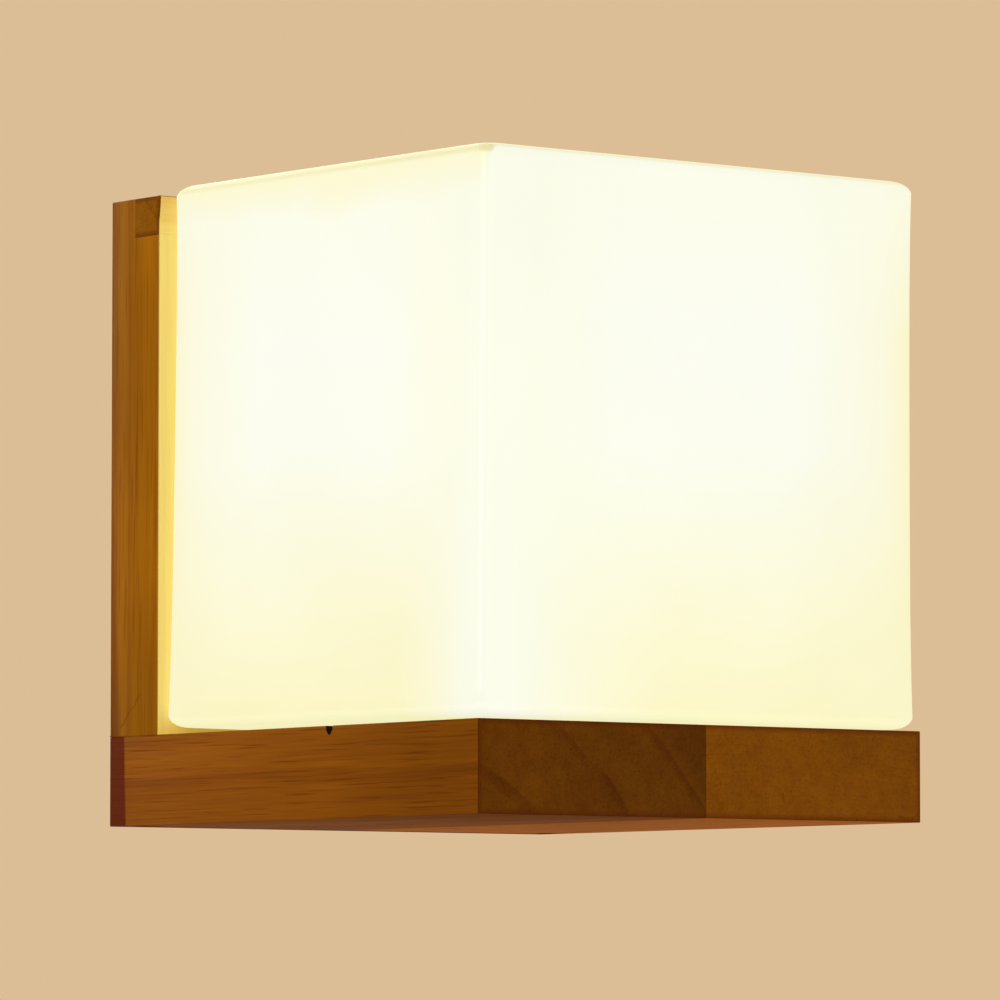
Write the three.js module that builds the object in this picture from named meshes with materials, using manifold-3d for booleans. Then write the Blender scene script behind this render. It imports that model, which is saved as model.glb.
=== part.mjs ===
// Wooden wall lamp: a shelf of two glued staves and a finger-jointed back frame carry an opal
// glass block, which stands by its neck in a round recess over a lampholder and a screw-in bulb.
// Millimetres. X runs along the wall, Y runs into the wall and Z is up. The origin lies in the
// plane of the wall, at the middle of the back of the hanging plate.

import * as THREE from 'three';
import { ConvexGeometry } from 'three/addons/geometries/ConvexGeometry.js';
import { mergeVertices } from 'three/addons/utils/BufferGeometryUtils.js';
import Module from 'manifold-3d';

// Wooden bracket
const lampWidth = 150;
const shelfDepth = 168;
const shelfThickness = 24.7;
const leftStaveWidth = 75.6;
const backDepth = 23;
const backHeight = 148.3;
const sideThickness = 10;
const railThickness = 10.9;
const railFingerDepth = 11.5;
const panelThickness = 9;
const edgeEasing = 0.3;
const centreMarkWidth = 4.2;
const centreMarkDepth = 2.4;
const centreMarkReach = 4;
const centreMarkFromFront = 65.1;

// Height of the hanging plate's middle over the underside of the shelf
const hangHeight = 140;

// Opal glass shade
const shadeSideInset = 1.5;
const shadeFrontInset = 0.8;
const shadeBackGap = 2.2;
const shadeClearance = 1.2;
const shadeHeadroom = 22.5;
const shadeDraft = 0.6;
const glassWall = 3;
const uprightEdgeRadius = 2.6;
const topCornerRadius = 5;
const bottomCornerRadius = 5;
const topEdgeRadius = 3;
const bottomEdgeRadius = 3.5;
const innerEdgeRadius = 2;
const neckRadius = 42;
const neckRimRounding = 0.8;

// Seat of the shade, and the ways for the wires under it
const recessDepth = 8;
const recessClearance = 2;
const seatRingThickness = 1;
const seatRingMargin = 1;
const channelWidth = 8;
const channelDepth = 14;
const channelEndWall = 3;
const pocketRadius = 11;

// Lampholder on its strap
const strapLength = 66;
const strapWidth = 16;
const strapThickness = 1.2;
const strapRise = 3;
const strapFootLength = 10;
const strapStepLength = 3;
const strapScrewSpacing = 56;
const nippleRadius = 5;
const nippleBoreRadius = 3.4;
const nippleReach = 2.5;
const nutThickness = 3;
const nutCornerRadius = 8;
const holderCapRadius = 19;
const holderCapHeight = 16;
const holderCapFloor = 2.5;
const holderWall = 2;
const holderHeight = 46;
const holderRadius = 20;
const holderLipRadius = 14.8;
const holderLipThickness = 3;
const insertThickness = 8;
const insertRadius = 16.5;
const shellRadius = 14;
const shellWall = 0.5;
const shellHeight = 22;
const contactSpringWidth = 5;
const contactSpringLength = 14;
const contactSpringThickness = 0.5;
const contactSpringRise = 1.3;

// Bulb with an edison screw cap
const bulbRadius = 30;
const bulbLength = 106;
const bulbWidestShare = 0.7;
const capLength = 27;
const capRadius = 12.9;
const capWall = 0.5;
const capStart = 4;
const buttonRadius = 4.6;
const buttonHeight = 1.2;
const insulatorRadius = 11.8;
const insulatorHeight = 8;
const housingTop = 58;
const housingRadius = 28.5;
const housingWall = 1.5;
const housingNeckRadius = 12;
const housingSpigot = 4;
const housingLedge = 2.5;
const diffuserWall = 1.2;
const boardThickness = 1.6;
const boardRadius = 25;
const chipCount = 10;
const chipSize = 3;
const chipHeight = 0.8;
const chipRingRadius = 17;

// Steel hanging plate
const plateLap = 7;
const plateHeight = 28;
const plateThickness = 1.5;
const keyholeSpacing = 80;
const keyholeHeadRadius = 4.3;
const keyholeSlotRadius = 2.2;
const keyholeSlotLength = 8;
const plateScrewMargin = 3;
const plateScrewSpacing = 18;

// Terminal block in the back frame
const blockHeight = 65;
const blockWidth = 18;
const blockDepth = 7.5;
const blockLength = 20;
const polePitch = 10;
const towerPitch = 12;
const towerRadius = 3.2;
const towerHeight = 3;
const clampRadius = 2.7;
const clampBoreRadius = 1.5;
const clampLength = 18;
const clampDepth = 4;
const terminalScrewRadius = 1.3;
const terminalScrewLength = 3.2;

// Wires between the terminal block and the lampholder
const wireRadius = 1.1;
const wireSpacing = 2.8;
const wireBend = 4.6;
const wireEntry = 5;
const wireFloorGap = 0.4;

// Screws
const shelfScrewHeadRadius = 3.6;
const shelfScrewHeadHeight = 2.4;
const shelfScrewShankRadius = 1.8;
const shelfScrewLength = 45;
const shelfScrewTip = 4;
const shelfScrewSink = 0.5;
const plateScrewHeadRadius = 2.7;
const plateScrewHeadHeight = 1.4;
const plateScrewShankRadius = 1.3;
const plateScrewLength = 12;
const plateScrewTip = 2;
const strapScrewHeadRadius = 3;
const strapScrewHeadHeight = 2;
const strapScrewShankRadius = 1.4;
const strapScrewLength = 10;
const strapScrewTip = 2;
const blockScrewHeadRadius = 2.2;
const blockScrewHeadHeight = 1.4;
const blockScrewShankRadius = 1.1;
const blockScrewLength = 11;
const blockScrewTip = 2;
const screwThrough = 4;

// Clearance between fitted pieces, and how far a cut runs past a face
const fitGap = 0.3;
const cutOver = 1;

// Levels and places that follow from the sizes above
const halfWidth = lampWidth / 2;
const shelfBottom = -hangHeight;
const shelfTop = shelfBottom + shelfThickness;
const backTop = shelfTop + backHeight;
const seamX = leftStaveWidth - halfWidth;
const innerX = halfWidth - sideThickness;
const shadeWidth = lampWidth - 2 * shadeSideInset;
const shadeDepth = shelfDepth - backDepth - shadeFrontInset - shadeBackGap;
const shadeY = shadeFrontInset + shadeDepth / 2 - shelfDepth;
const shadeBottom = shelfTop + shadeClearance;
const recessRadius = neckRadius + recessClearance;
const recessFloor = shelfTop - recessDepth;
const channelFloor = shelfTop - channelDepth;
const neckBottom = recessFloor + seatRingThickness + fitGap;
const strapTop = recessFloor + strapRise + strapThickness;
const capFloorTop = strapTop + holderCapFloor;
const holderCapTop = strapTop + holderCapHeight;
const insertBottom = holderCapTop - insertThickness / 2;
const insertTop = insertBottom + insertThickness;
const holderTop = strapTop + holderHeight;
const nippleBottom = strapTop - strapThickness - nutThickness;
const nippleTop = capFloorTop + nippleReach;
const springTop = insertTop + contactSpringThickness + contactSpringRise;
const bulbBottom = springTop + fitGap;
const shadeTop = bulbBottom + bulbLength + shadeHeadroom + glassWall;
const shadeHeight = shadeTop - shadeBottom;
const blockZ = shelfBottom + blockHeight;
const panelBackY = panelThickness - backDepth;
const blockBackY = panelBackY + blockDepth;
const clampY = panelBackY + clampDepth;
const plateHalfWidth = innerX + plateLap;

const wasm = await Module();
wasm.setup();

// A three.js geometry as a solid for joining and cutting
function toSolid(geometry) {
  const bare = geometry.clone();
  bare.deleteAttribute('normal');
  bare.deleteAttribute('uv');
  const merged = mergeVertices(bare);
  return new wasm.Manifold(new wasm.Mesh({
    numProp: 3,
    vertProperties: new Float32Array(merged.attributes.position.array),
    triVerts: new Uint32Array(merged.index.array),
  }));
}

// A solid back as a three.js geometry
function toGeometry(solid) {
  const mesh = solid.getMesh();
  const geometry = new THREE.BufferGeometry();
  geometry.setAttribute('position', new THREE.BufferAttribute(mesh.vertProperties, 3));
  geometry.setIndex(new THREE.BufferAttribute(mesh.triVerts, 1));
  geometry.computeVertexNormals();
  return geometry;
}

function block(low, high) {
  const size = high.map((value, axis) => value - low[axis]);
  const geometry = new THREE.BoxGeometry(...size);
  return geometry.translate(...low.map((value, axis) => value + size[axis] / 2));
}

// A block whose twelve edges are eased by a small flat
function easedBlock(low, high) {
  const points = [];
  for (let corner = 0; corner < 8; corner += 1) {
    const outer = [corner & 1, corner & 2, corner & 4].map((bit, axis) => (bit ? high : low)[axis]);
    const inner = outer.map((value, axis) => value + (value === low[axis] ? edgeEasing : -edgeEasing));
    for (let axis = 0; axis < 3; axis += 1) {
      const point = inner.map((value, other) => (other === axis ? outer[other] : value));
      points.push(new THREE.Vector3(...point));
    }
  }
  return new ConvexGeometry(points);
}

// A profile of [radius, height] pairs turned about the Z axis
function turned(profile, sides) {
  const points = profile.map(([radius, height]) => new THREE.Vector2(radius, height));
  return new THREE.LatheGeometry(points, sides).rotateX(Math.PI / 2);
}

// A tube or ring about the Z axis
function ring(inner, outer, low, high, sides) {
  return turned([[inner, low], [outer, low], [outer, high], [inner, high], [inner, low]], sides);
}

function rod(radius, low, high, sides) {
  return turned([[0, low], [radius, low], [radius, high], [0, high]], sides);
}

function finish(color, roughness, metalness) {
  return new THREE.MeshStandardMaterial({ color, roughness, metalness });
}

const sideWood = () => finish(0x98600f, 0.55, 0);
const shelfWood = () => finish(0x82480a, 0.55, 0);
const endGrainWood = () => finish(0x6a3a08, 0.6, 0);
const opalGlass = () => finish(0xfcf8e0, 0.15, 0);
const clearSilicone = () => finish(0xd8d8d0, 0.5, 0);
const zincSteel = () => finish(0xb8bab8, 0.35, 1);
const nickel = () => finish(0xc8c4b8, 0.25, 1);
const brass = () => finish(0xc8a050, 0.3, 1);
const whitePlastic = () => finish(0xf0eee8, 0.45, 0);
const porcelain = () => finish(0xf4f2ea, 0.2, 0);
const blackGlass = () => finish(0x141414, 0.2, 0);
const brownWire = () => finish(0x5a2c14, 0.5, 0);
const blueWire = () => finish(0x1c4fa0, 0.5, 0);

const lamp = new THREE.Group();

function add(name, geometry, material) {
  const mesh = new THREE.Mesh(geometry, material);
  mesh.name = name;
  lamp.add(mesh);
  return mesh;
}

// A screw with its axis along Z, pointing down, and the place for it, which is the same form
// grown by the fitting gap. Zero height is the seat of a round head or the top of a sunk one.
const screwSides = 16;
const headSteps = 4;
const sunk = 'sunk';
const round = 'round';

const shelfScrew = {
  headRadius: shelfScrewHeadRadius,
  headHeight: shelfScrewHeadHeight,
  shankRadius: shelfScrewShankRadius,
  length: shelfScrewLength,
  tip: shelfScrewTip,
};
const plateScrew = {
  headRadius: plateScrewHeadRadius,
  headHeight: plateScrewHeadHeight,
  shankRadius: plateScrewShankRadius,
  length: plateScrewLength,
  tip: plateScrewTip,
};
const strapScrew = {
  headRadius: strapScrewHeadRadius,
  headHeight: strapScrewHeadHeight,
  shankRadius: strapScrewShankRadius,
  length: strapScrewLength,
  tip: strapScrewTip,
};
const blockScrew = {
  headRadius: blockScrewHeadRadius,
  headHeight: blockScrewHeadHeight,
  shankRadius: blockScrewShankRadius,
  length: blockScrewLength,
  tip: blockScrewTip,
};

function screwProfile(size, head, grow) {
  const shank = size.shankRadius + grow;
  const headRadius = size.headRadius + grow;
  const end = -size.length - grow;
  const neckHeight = head === sunk ? -size.headHeight : 0;
  const profile = [[0, end], [shank, end + size.tip], [shank, neckHeight], [headRadius, 0]];
  if (head === round) {
    for (let step = 1; step < headSteps; step += 1) {
      const angle = (step / headSteps) * (Math.PI / 2);
      profile.push([headRadius * Math.cos(angle), size.headHeight * Math.sin(angle)]);
    }
    profile.push([0, size.headHeight]);
  } else if (grow > 0) {
    profile.push([headRadius, screwThrough], [0, screwThrough]);
  } else {
    profile.push([0, 0]);
  }
  return profile;
}

const pointing = {
  down: new THREE.Matrix4(),
  up: new THREE.Matrix4().makeRotationX(Math.PI),
  forward: new THREE.Matrix4().makeRotationX(-Math.PI / 2),
};

function screwForm(size, head, grow, direction, place) {
  const geometry = turned(screwProfile(size, head, grow), screwSides);
  return geometry.applyMatrix4(pointing[direction]).translate(...place);
}

// Every screw: its name, size, head, direction and the place of its head
const screws = [];
for (const [sideName, side] of [['left', -1], ['right', 1]]) {
  const sideX = side * (halfWidth - sideThickness / 2);
  screws.push({
    name: `shelf_screw_${sideName}`,
    size: shelfScrew,
    head: sunk,
    direction: 'up',
    place: [sideX, -backDepth / 2, shelfBottom + shelfScrewSink],
  });
  screws.push({
    name: `strap_screw_${sideName}`,
    size: strapScrew,
    head: round,
    direction: 'down',
    place: [side * strapScrewSpacing / 2, shadeY, recessFloor + strapThickness],
  });
  for (const [levelName, level] of [['lower', -1], ['upper', 1]]) {
    screws.push({
      name: `plate_screw_${levelName}_${sideName}`,
      size: plateScrew,
      head: sunk,
      direction: 'forward',
      place: [side * (plateHalfWidth - plateScrewMargin), 0, level * plateScrewSpacing / 2],
    });
  }
}
screws.push({
  name: 'block_screw',
  size: blockScrew,
  head: sunk,
  direction: 'forward',
  place: [0, blockBackY, blockZ],
});

const screwPlaces = screws.map(({ size, head, direction, place }) => (
  toSolid(screwForm(size, head, fitGap, direction, place))
));

function withoutScrews(solid) {
  return screwPlaces.reduce((left, place) => left.subtract(place), solid);
}

// Shelf: glued up from two staves that run from the wall to the front, then shaped as one board
// with the round recess, the pocket under the lampholder and the channel for the wires
const roundSides = 64;

function shelfBoard() {
  const board = toSolid(easedBlock([-halfWidth, -shelfDepth, shelfBottom], [halfWidth, 0, shelfTop]));
  const top = shelfTop + cutOver;
  const recess = toSolid(rod(recessRadius, recessFloor, top, roundSides).translate(0, shadeY, 0));
  const pocket = toSolid(rod(pocketRadius, channelFloor, top, roundSides).translate(0, shadeY, 0));
  const channelHalf = channelWidth / 2;
  const channel = toSolid(block([-channelHalf, shadeY, channelFloor], [channelHalf, -channelEndWall, top]));
  const markHalf = centreMarkWidth / 2;
  const markShape = new THREE.Shape([
    new THREE.Vector2(-markHalf, 0),
    new THREE.Vector2(0, -centreMarkDepth),
    new THREE.Vector2(markHalf, 0),
    new THREE.Vector2(markHalf, cutOver),
    new THREE.Vector2(-markHalf, cutOver),
  ]);
  const markLength = centreMarkReach + cutOver;
  const markForm = new THREE.ExtrudeGeometry(markShape, { depth: markLength, bevelEnabled: false });
  markForm.rotateX(Math.PI / 2).rotateZ(Math.PI / 2);
  markForm.translate(-halfWidth - cutOver, centreMarkFromFront - shelfDepth, shelfTop);
  const cuts = [recess, pocket, channel, toSolid(markForm)];
  return withoutScrews(cuts.reduce((left, cut) => left.subtract(cut), board));
}

const shelf = shelfBoard();
const shelfLow = [-halfWidth - cutOver, -shelfDepth - cutOver, shelfBottom - cutOver];
const shelfHigh = [halfWidth + cutOver, cutOver, shelfTop + cutOver];
const leftStave = toSolid(block(shelfLow, [seamX, shelfHigh[1], shelfHigh[2]]));
const rightStave = toSolid(block([seamX, shelfLow[1], shelfLow[2]], shelfHigh));
add('shelf_left_stave', toGeometry(shelf.intersect(leftStave)), shelfWood());
add('shelf_right_stave', toGeometry(shelf.intersect(rightStave)), shelfWood());

// Back frame: two upright sides with a rail let into their tops by one finger at each end, and
// a panel between them, flush at the front, which leaves room for the wiring behind it
function backFrame() {
  const frame = toSolid(easedBlock([-halfWidth, -backDepth, shelfTop], [halfWidth, 0, backTop]));
  const foot = toSolid(block([-halfWidth, -backDepth, shelfTop], [halfWidth, 0, shelfTop + edgeEasing]));
  return withoutScrews(frame.add(foot).subtract(toSolid(plateForm(fitGap))));
}

// The plate's plain outline, for the plate itself and for its seat in the sides
function plateForm(grow) {
  const halfX = plateHalfWidth + grow;
  const halfZ = plateHeight / 2 + grow;
  return block([-halfX, -plateThickness, -halfZ], [halfX, grow > 0 ? cutOver : 0, halfZ]);
}

const frame = backFrame();
const railBottom = backTop - railThickness;
const fingerBackY = railFingerDepth - backDepth;
const pastSide = halfWidth + cutOver;
const pastFront = -backDepth - cutOver;
const pastTop = backTop + cutOver;
const railBody = toSolid(block([-innerX, pastFront, railBottom], [innerX, cutOver, pastTop]));
const railFingers = toSolid(block([-pastSide, pastFront, railBottom], [pastSide, fingerBackY, pastTop]));
const railZone = railBody.add(railFingers);
add('back_top_rail', toGeometry(frame.intersect(railZone)), endGrainWood());

for (const [sideName, side] of [['left', -1], ['right', 1]]) {
  const lowX = side < 0 ? -pastSide : innerX;
  const highX = side < 0 ? -innerX : pastSide;
  const zone = toSolid(block([lowX, pastFront, shelfTop], [highX, cutOver, pastTop]));
  add(`back_${sideName}_side`, toGeometry(frame.intersect(zone).subtract(railZone)), sideWood());
}

const panelZone = toSolid(block([-innerX, pastFront, shelfTop], [innerX, panelBackY, railBottom]));
add('back_panel', toGeometry(frame.intersect(panelZone)), sideWood());

// Hanging plate: two keyholes hang it on screws in the wall, and four screws hold it to the sides
const keyholeSides = 24;

function keyhole(x) {
  const half = keyholeSlotLength / 2;
  const inside = -plateThickness - cutOver;
  const hole = (radius, z) => {
    const form = rod(radius, inside, cutOver, keyholeSides);
    return toSolid(form.rotateX(-Math.PI / 2).translate(x, 0, z));
  };
  const slot = block([x - keyholeSlotRadius, inside, -half], [x + keyholeSlotRadius, cutOver, half]);
  return hole(keyholeHeadRadius, -half).add(hole(keyholeSlotRadius, half)).add(toSolid(slot));
}

const plate = withoutScrews(toSolid(plateForm(0)))
  .subtract(keyhole(-keyholeSpacing / 2))
  .subtract(keyhole(keyholeSpacing / 2));
add('hanging_plate', toGeometry(plate), zincSteel());

// Opal glass: rings of a rounded rectangle, lofted from the middle of the top down the outside,
// round the rim of the neck and up the inside. The corners open out towards top and bottom, as
// on a blown block, and the walls lean in a little towards the top.
const cornerSteps = 8;
const edgeSteps = 4;

function roundedRing(halfX, halfY, radius, height) {
  const points = [];
  for (let quarter = 0; quarter < 4; quarter += 1) {
    const signX = quarter === 0 || quarter === 3 ? 1 : -1;
    const signY = quarter < 2 ? 1 : -1;
    for (let step = 0; step < cornerSteps; step += 1) {
      const angle = (quarter + (step + 0.5) / cornerSteps) * (Math.PI / 2);
      const x = signX * (halfX - radius) + radius * Math.cos(angle);
      const y = signY * (halfY - radius) + radius * Math.sin(angle);
      points.push([x, y, height]);
    }
  }
  return points;
}

function loft(firstPoint, rings, lastPoint) {
  const count = rings[0].length;
  const positions = [...firstPoint, ...rings.flat(2), ...lastPoint];
  const last = 1 + rings.length * count;
  const faces = [];
  for (let side = 0; side < count; side += 1) {
    const next = (side + 1) % count;
    faces.push(0, 1 + side, 1 + next);
    for (let level = 0; level + 1 < rings.length; level += 1) {
      const upper = 1 + level * count;
      const lower = upper + count;
      faces.push(upper + side, lower + side, lower + next);
      faces.push(upper + side, lower + next, upper + next);
    }
    faces.push(last, last - count + next, last - count + side);
  }
  const geometry = new THREE.BufferGeometry();
  geometry.setAttribute('position', new THREE.Float32BufferAttribute(positions, 3));
  geometry.setIndex(faces);
  geometry.computeVertexNormals();
  return geometry;
}

// One skin of the glass, from its top ring down to the ring where the neck begins
function glassSkin(inset, topRadius, bottomRadius, cornerRadii) {
  const top = shadeTop - inset;
  const bottom = shadeBottom + inset;
  const halfX = (height) => shadeWidth / 2 - inset - shadeDraft * (height - shadeBottom) / shadeHeight;
  const halfY = (height) => shadeDepth / 2 - inset - shadeDraft * (height - shadeBottom) / shadeHeight;
  const rings = [];
  for (let step = 0; step <= edgeSteps; step += 1) {
    const angle = (step / edgeSteps) * (Math.PI / 2);
    const height = top - topRadius * (1 - Math.cos(angle));
    const inward = topRadius * (1 - Math.sin(angle));
    const corner = cornerRadii.upright + (cornerRadii.top - cornerRadii.upright) * Math.cos(angle);
    rings.push(roundedRing(halfX(height) - inward, halfY(height) - inward, corner, height));
  }
  for (let step = edgeSteps; step >= 0; step -= 1) {
    const angle = (step / edgeSteps) * (Math.PI / 2);
    const height = bottom + bottomRadius * (1 - Math.cos(angle));
    const inward = bottomRadius * (1 - Math.sin(angle));
    const corner = cornerRadii.upright + (cornerRadii.bottom - cornerRadii.upright) * Math.cos(angle);
    rings.push(roundedRing(halfX(height) - inward, halfY(height) - inward, corner, height));
  }
  return rings;
}

function glassShade() {
  const outer = glassSkin(0, topEdgeRadius, bottomEdgeRadius, {
    top: topCornerRadius,
    upright: uprightEdgeRadius,
    bottom: bottomCornerRadius,
  });
  const inner = glassSkin(glassWall, innerEdgeRadius, innerEdgeRadius, {
    top: topCornerRadius - glassWall,
    upright: innerEdgeRadius,
    bottom: bottomCornerRadius - glassWall,
  }).reverse();
  const circle = (radius, height) => roundedRing(radius, radius, radius, height);
  const neckBore = neckRadius - glassWall;
  const neck = [
    circle(neckRadius + neckRimRounding, shadeBottom),
    circle(neckRadius, shadeBottom - neckRimRounding),
    circle(neckRadius, neckBottom + neckRimRounding),
    circle(neckRadius - neckRimRounding, neckBottom),
    circle(neckBore + neckRimRounding, neckBottom),
    circle(neckBore, neckBottom + neckRimRounding),
    circle(neckBore, shadeBottom + glassWall - neckRimRounding),
    circle(neckBore + neckRimRounding, shadeBottom + glassWall),
  ];
  return loft([0, 0, shadeTop], [...outer, ...neck, ...inner], [0, 0, shadeTop - glassWall]);
}

add('glass_shade', glassShade(), opalGlass()).position.y = shadeY;

const seatInner = neckRadius - glassWall - seatRingMargin;
const seatOuter = neckRadius + seatRingMargin;
const seatTop = recessFloor + seatRingThickness;
const seatRing = ring(seatInner, seatOuter, recessFloor, seatTop, roundSides);
add('shade_seat_ring', seatRing, clearSilicone()).position.y = shadeY;

// Lampholder: a steel strap bridges the pocket, and a hollow nipple with a nut clamps the
// holder's cap to it. The cap, the insert with its shell and spring, and the barrel stack on it.
const holderSides = 32;
const shellSides = 28;

function strap() {
  const half = strapLength / 2;
  const footEnd = half - strapFootLength;
  const deck = footEnd - strapStepLength;
  const lowerSide = [
    [half, 0],
    [footEnd, 0],
    [deck, strapRise],
    [-deck, strapRise],
    [-footEnd, 0],
    [-half, 0],
  ];
  const slant = strapThickness * Math.tan(Math.atan2(strapRise, strapStepLength) / 2);
  const upperSide = [
    [-half, strapThickness],
    [-footEnd - slant, strapThickness],
    [-deck - slant, strapRise + strapThickness],
    [deck + slant, strapRise + strapThickness],
    [footEnd + slant, strapThickness],
    [half, strapThickness],
  ];
  const outline = [...lowerSide, ...upperSide].map(([x, y]) => new THREE.Vector2(x, y));
  const options = { depth: strapWidth, bevelEnabled: false };
  const form = new THREE.ExtrudeGeometry(new THREE.Shape(outline), options);
  form.rotateX(Math.PI / 2).translate(0, shadeY + strapWidth / 2, recessFloor);
  const hole = rod(nippleRadius + fitGap, -cutOver, strapRise + strapThickness + cutOver, shellSides);
  return withoutScrews(toSolid(form)).subtract(toSolid(hole.translate(0, shadeY, recessFloor)));
}

add('holder_strap', toGeometry(strap()), zincSteel());

const nipple = ring(nippleBoreRadius, nippleRadius, nippleBottom, nippleTop, shellSides);
add('holder_nipple', nipple, zincSteel()).position.y = shadeY;

const nutSides = 6;
const nutTop = nippleBottom + nutThickness;
const nutForm = toSolid(rod(nutCornerRadius, nippleBottom, nutTop, nutSides));
const nutBore = toSolid(rod(nippleRadius + fitGap, nippleBottom - cutOver, nutTop + cutOver, shellSides));
add('holder_nut', toGeometry(nutForm.subtract(nutBore)), zincSteel()).position.y = shadeY;

const capInner = holderCapRadius - holderWall;
const entryRadius = nippleRadius + fitGap;
add('holder_cap', turned([
  [entryRadius, strapTop],
  [holderCapRadius - holderWall, strapTop],
  [holderCapRadius, strapTop + holderWall],
  [holderCapRadius, holderCapTop],
  [capInner, holderCapTop],
  [capInner, capFloorTop],
  [entryRadius, capFloorTop],
  [entryRadius, strapTop],
], holderSides), whitePlastic()).position.y = shadeY;

// The insert stands on a step of the barrel's foot, and carries the shell in a shallow groove
const grooveDepth = fitGap + shellWall;
add('holder_insert', turned([
  [0, insertBottom],
  [insertRadius - holderWall, insertBottom],
  [insertRadius, insertBottom + holderWall],
  [insertRadius, insertTop],
  [shellRadius + fitGap, insertTop],
  [shellRadius + fitGap, insertTop - grooveDepth],
  [shellRadius - shellWall - fitGap, insertTop - grooveDepth],
  [shellRadius - shellWall - fitGap, insertTop],
  [0, insertTop],
], holderSides), porcelain()).position.y = shadeY;

const shellBottom = insertTop - grooveDepth;
add('holder_screw_shell',
  ring(shellRadius - shellWall, shellRadius, shellBottom, shellBottom + shellHeight, shellSides),
  nickel()).position.y = shadeY;

function contactSpring() {
  const half = contactSpringLength / 2;
  const flat = half / 2;
  const crown = contactSpringRise + contactSpringThickness;
  const arch = new THREE.Shape();
  arch.moveTo(-half, 0);
  arch.lineTo(-flat, 0);
  arch.quadraticCurveTo(-flat / 2, contactSpringRise, 0, contactSpringRise);
  arch.quadraticCurveTo(flat / 2, contactSpringRise, flat, 0);
  arch.lineTo(half, 0);
  arch.lineTo(half, contactSpringThickness);
  arch.lineTo(flat, contactSpringThickness);
  arch.quadraticCurveTo(flat / 2, crown, 0, crown);
  arch.quadraticCurveTo(-flat / 2, crown, -flat, contactSpringThickness);
  arch.lineTo(-half, contactSpringThickness);
  arch.closePath();
  const options = { depth: contactSpringWidth, bevelEnabled: false, curveSegments: edgeSteps };
  const form = new THREE.ExtrudeGeometry(arch, options);
  return form.rotateX(Math.PI / 2).translate(0, contactSpringWidth / 2, insertTop);
}

add('holder_contact_spring', contactSpring(), brass()).position.y = shadeY;

const barrelBottom = holderCapTop + fitGap;
const barrelInner = holderRadius - holderWall;
const lipBottom = holderTop - holderLipThickness;
add('holder_barrel', turned([
  [barrelInner, barrelBottom],
  [holderRadius, barrelBottom],
  [holderRadius, holderTop - holderWall],
  [holderRadius - holderWall, holderTop],
  [holderLipRadius, holderTop],
  [holderLipRadius, lipBottom],
  [barrelInner, lipBottom],
  [barrelInner, barrelBottom],
], holderSides), whitePlastic()).position.y = shadeY;

// Bulb, built up from the foot of its screw cap
const bulb = new THREE.Group();
bulb.position.set(0, shadeY, bulbBottom);
lamp.add(bulb);

function addToBulb(name, geometry, material) {
  bulb.add(add(name, geometry, material));
}

const bulbSides = 36;

addToBulb('bulb_contact', turned([
  [0, 0],
  [buttonRadius / 2, 0],
  [buttonRadius, buttonHeight / 2],
  [buttonRadius, buttonHeight],
  [0, buttonHeight],
], shellSides), brass());

addToBulb('bulb_insulator', turned([
  [0, buttonHeight],
  [buttonRadius, buttonHeight],
  [insulatorRadius, capStart],
  [insulatorRadius, insulatorHeight],
  [0, insulatorHeight],
], shellSides), blackGlass());

addToBulb('bulb_cap', ring(capRadius - capWall, capRadius, capStart, capLength, shellSides), nickel());

// Housing: a spigot in the cap, then a cup that opens out to the diffuser's edge
const cupSteps = 8;

function housingProfile() {
  const outside = [];
  const inside = [];
  for (let step = 0; step <= cupSteps; step += 1) {
    const share = step / cupSteps;
    const height = capLength + fitGap + (housingTop - capLength - fitGap) * share;
    const radius = capRadius + (housingRadius - capRadius) * Math.sin(share * Math.PI / 2);
    outside.push([radius, height]);
    if (step > 0 && step < cupSteps) inside.unshift([radius - housingWall, height]);
  }
  const ledge = housingTop - housingLedge;
  return [
    [housingNeckRadius - housingWall, capLength - housingSpigot],
    [housingNeckRadius, capLength - housingSpigot],
    [housingNeckRadius, capLength + fitGap],
    ...outside,
    [boardRadius + fitGap, housingTop],
    [boardRadius + fitGap, ledge],
    [boardRadius - housingWall, ledge],
    ...inside.filter(([radius]) => radius < boardRadius - housingWall),
    [housingNeckRadius - housingWall, capLength - housingSpigot],
  ];
}

addToBulb('bulb_housing', turned(housingProfile(), bulbSides), whitePlastic());

function ledBoard() {
  const bottom = housingTop - housingLedge;
  const top = bottom + boardThickness;
  const disc = toSolid(rod(boardRadius, bottom, top, bulbSides));
  const half = chipSize / 2;
  const low = [chipRingRadius - half, -half, bottom];
  const high = [chipRingRadius + half, half, top + chipHeight];
  let board = disc;
  for (let chip = 0; chip < chipCount; chip += 1) {
    board = board.add(toSolid(block(low, high).rotateZ((chip / chipCount) * Math.PI * 2)));
  }
  return toGeometry(board);
}

addToBulb('bulb_led_board', ledBoard(), whitePlastic());

// Diffuser: swells to the widest ring, then closes in a round dome
const domeSteps = 8;

function diffuserSkin(inset) {
  const bottom = housingTop + fitGap;
  const widest = bulbLength * bulbWidestShare;
  const rise = bulbLength - widest - inset;
  const skin = [];
  const swellSteps = domeSteps / 2;
  for (let step = 0; step < swellSteps; step += 1) {
    const share = step / swellSteps;
    const radius = housingRadius + (bulbRadius - housingRadius) * Math.sin(share * Math.PI / 2) - inset;
    skin.push([radius, bottom + (widest - bottom) * share]);
  }
  for (let step = 0; step < domeSteps; step += 1) {
    const angle = (step / domeSteps) * (Math.PI / 2);
    skin.push([(bulbRadius - inset) * Math.cos(angle), widest + rise * Math.sin(angle)]);
  }
  skin.push([0, bulbLength - inset]);
  return skin;
}

const diffuserProfile = [...diffuserSkin(diffuserWall).reverse(), ...diffuserSkin(0)];
addToBulb('bulb_diffuser', turned(diffuserProfile, bulbSides), opalGlass());

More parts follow.
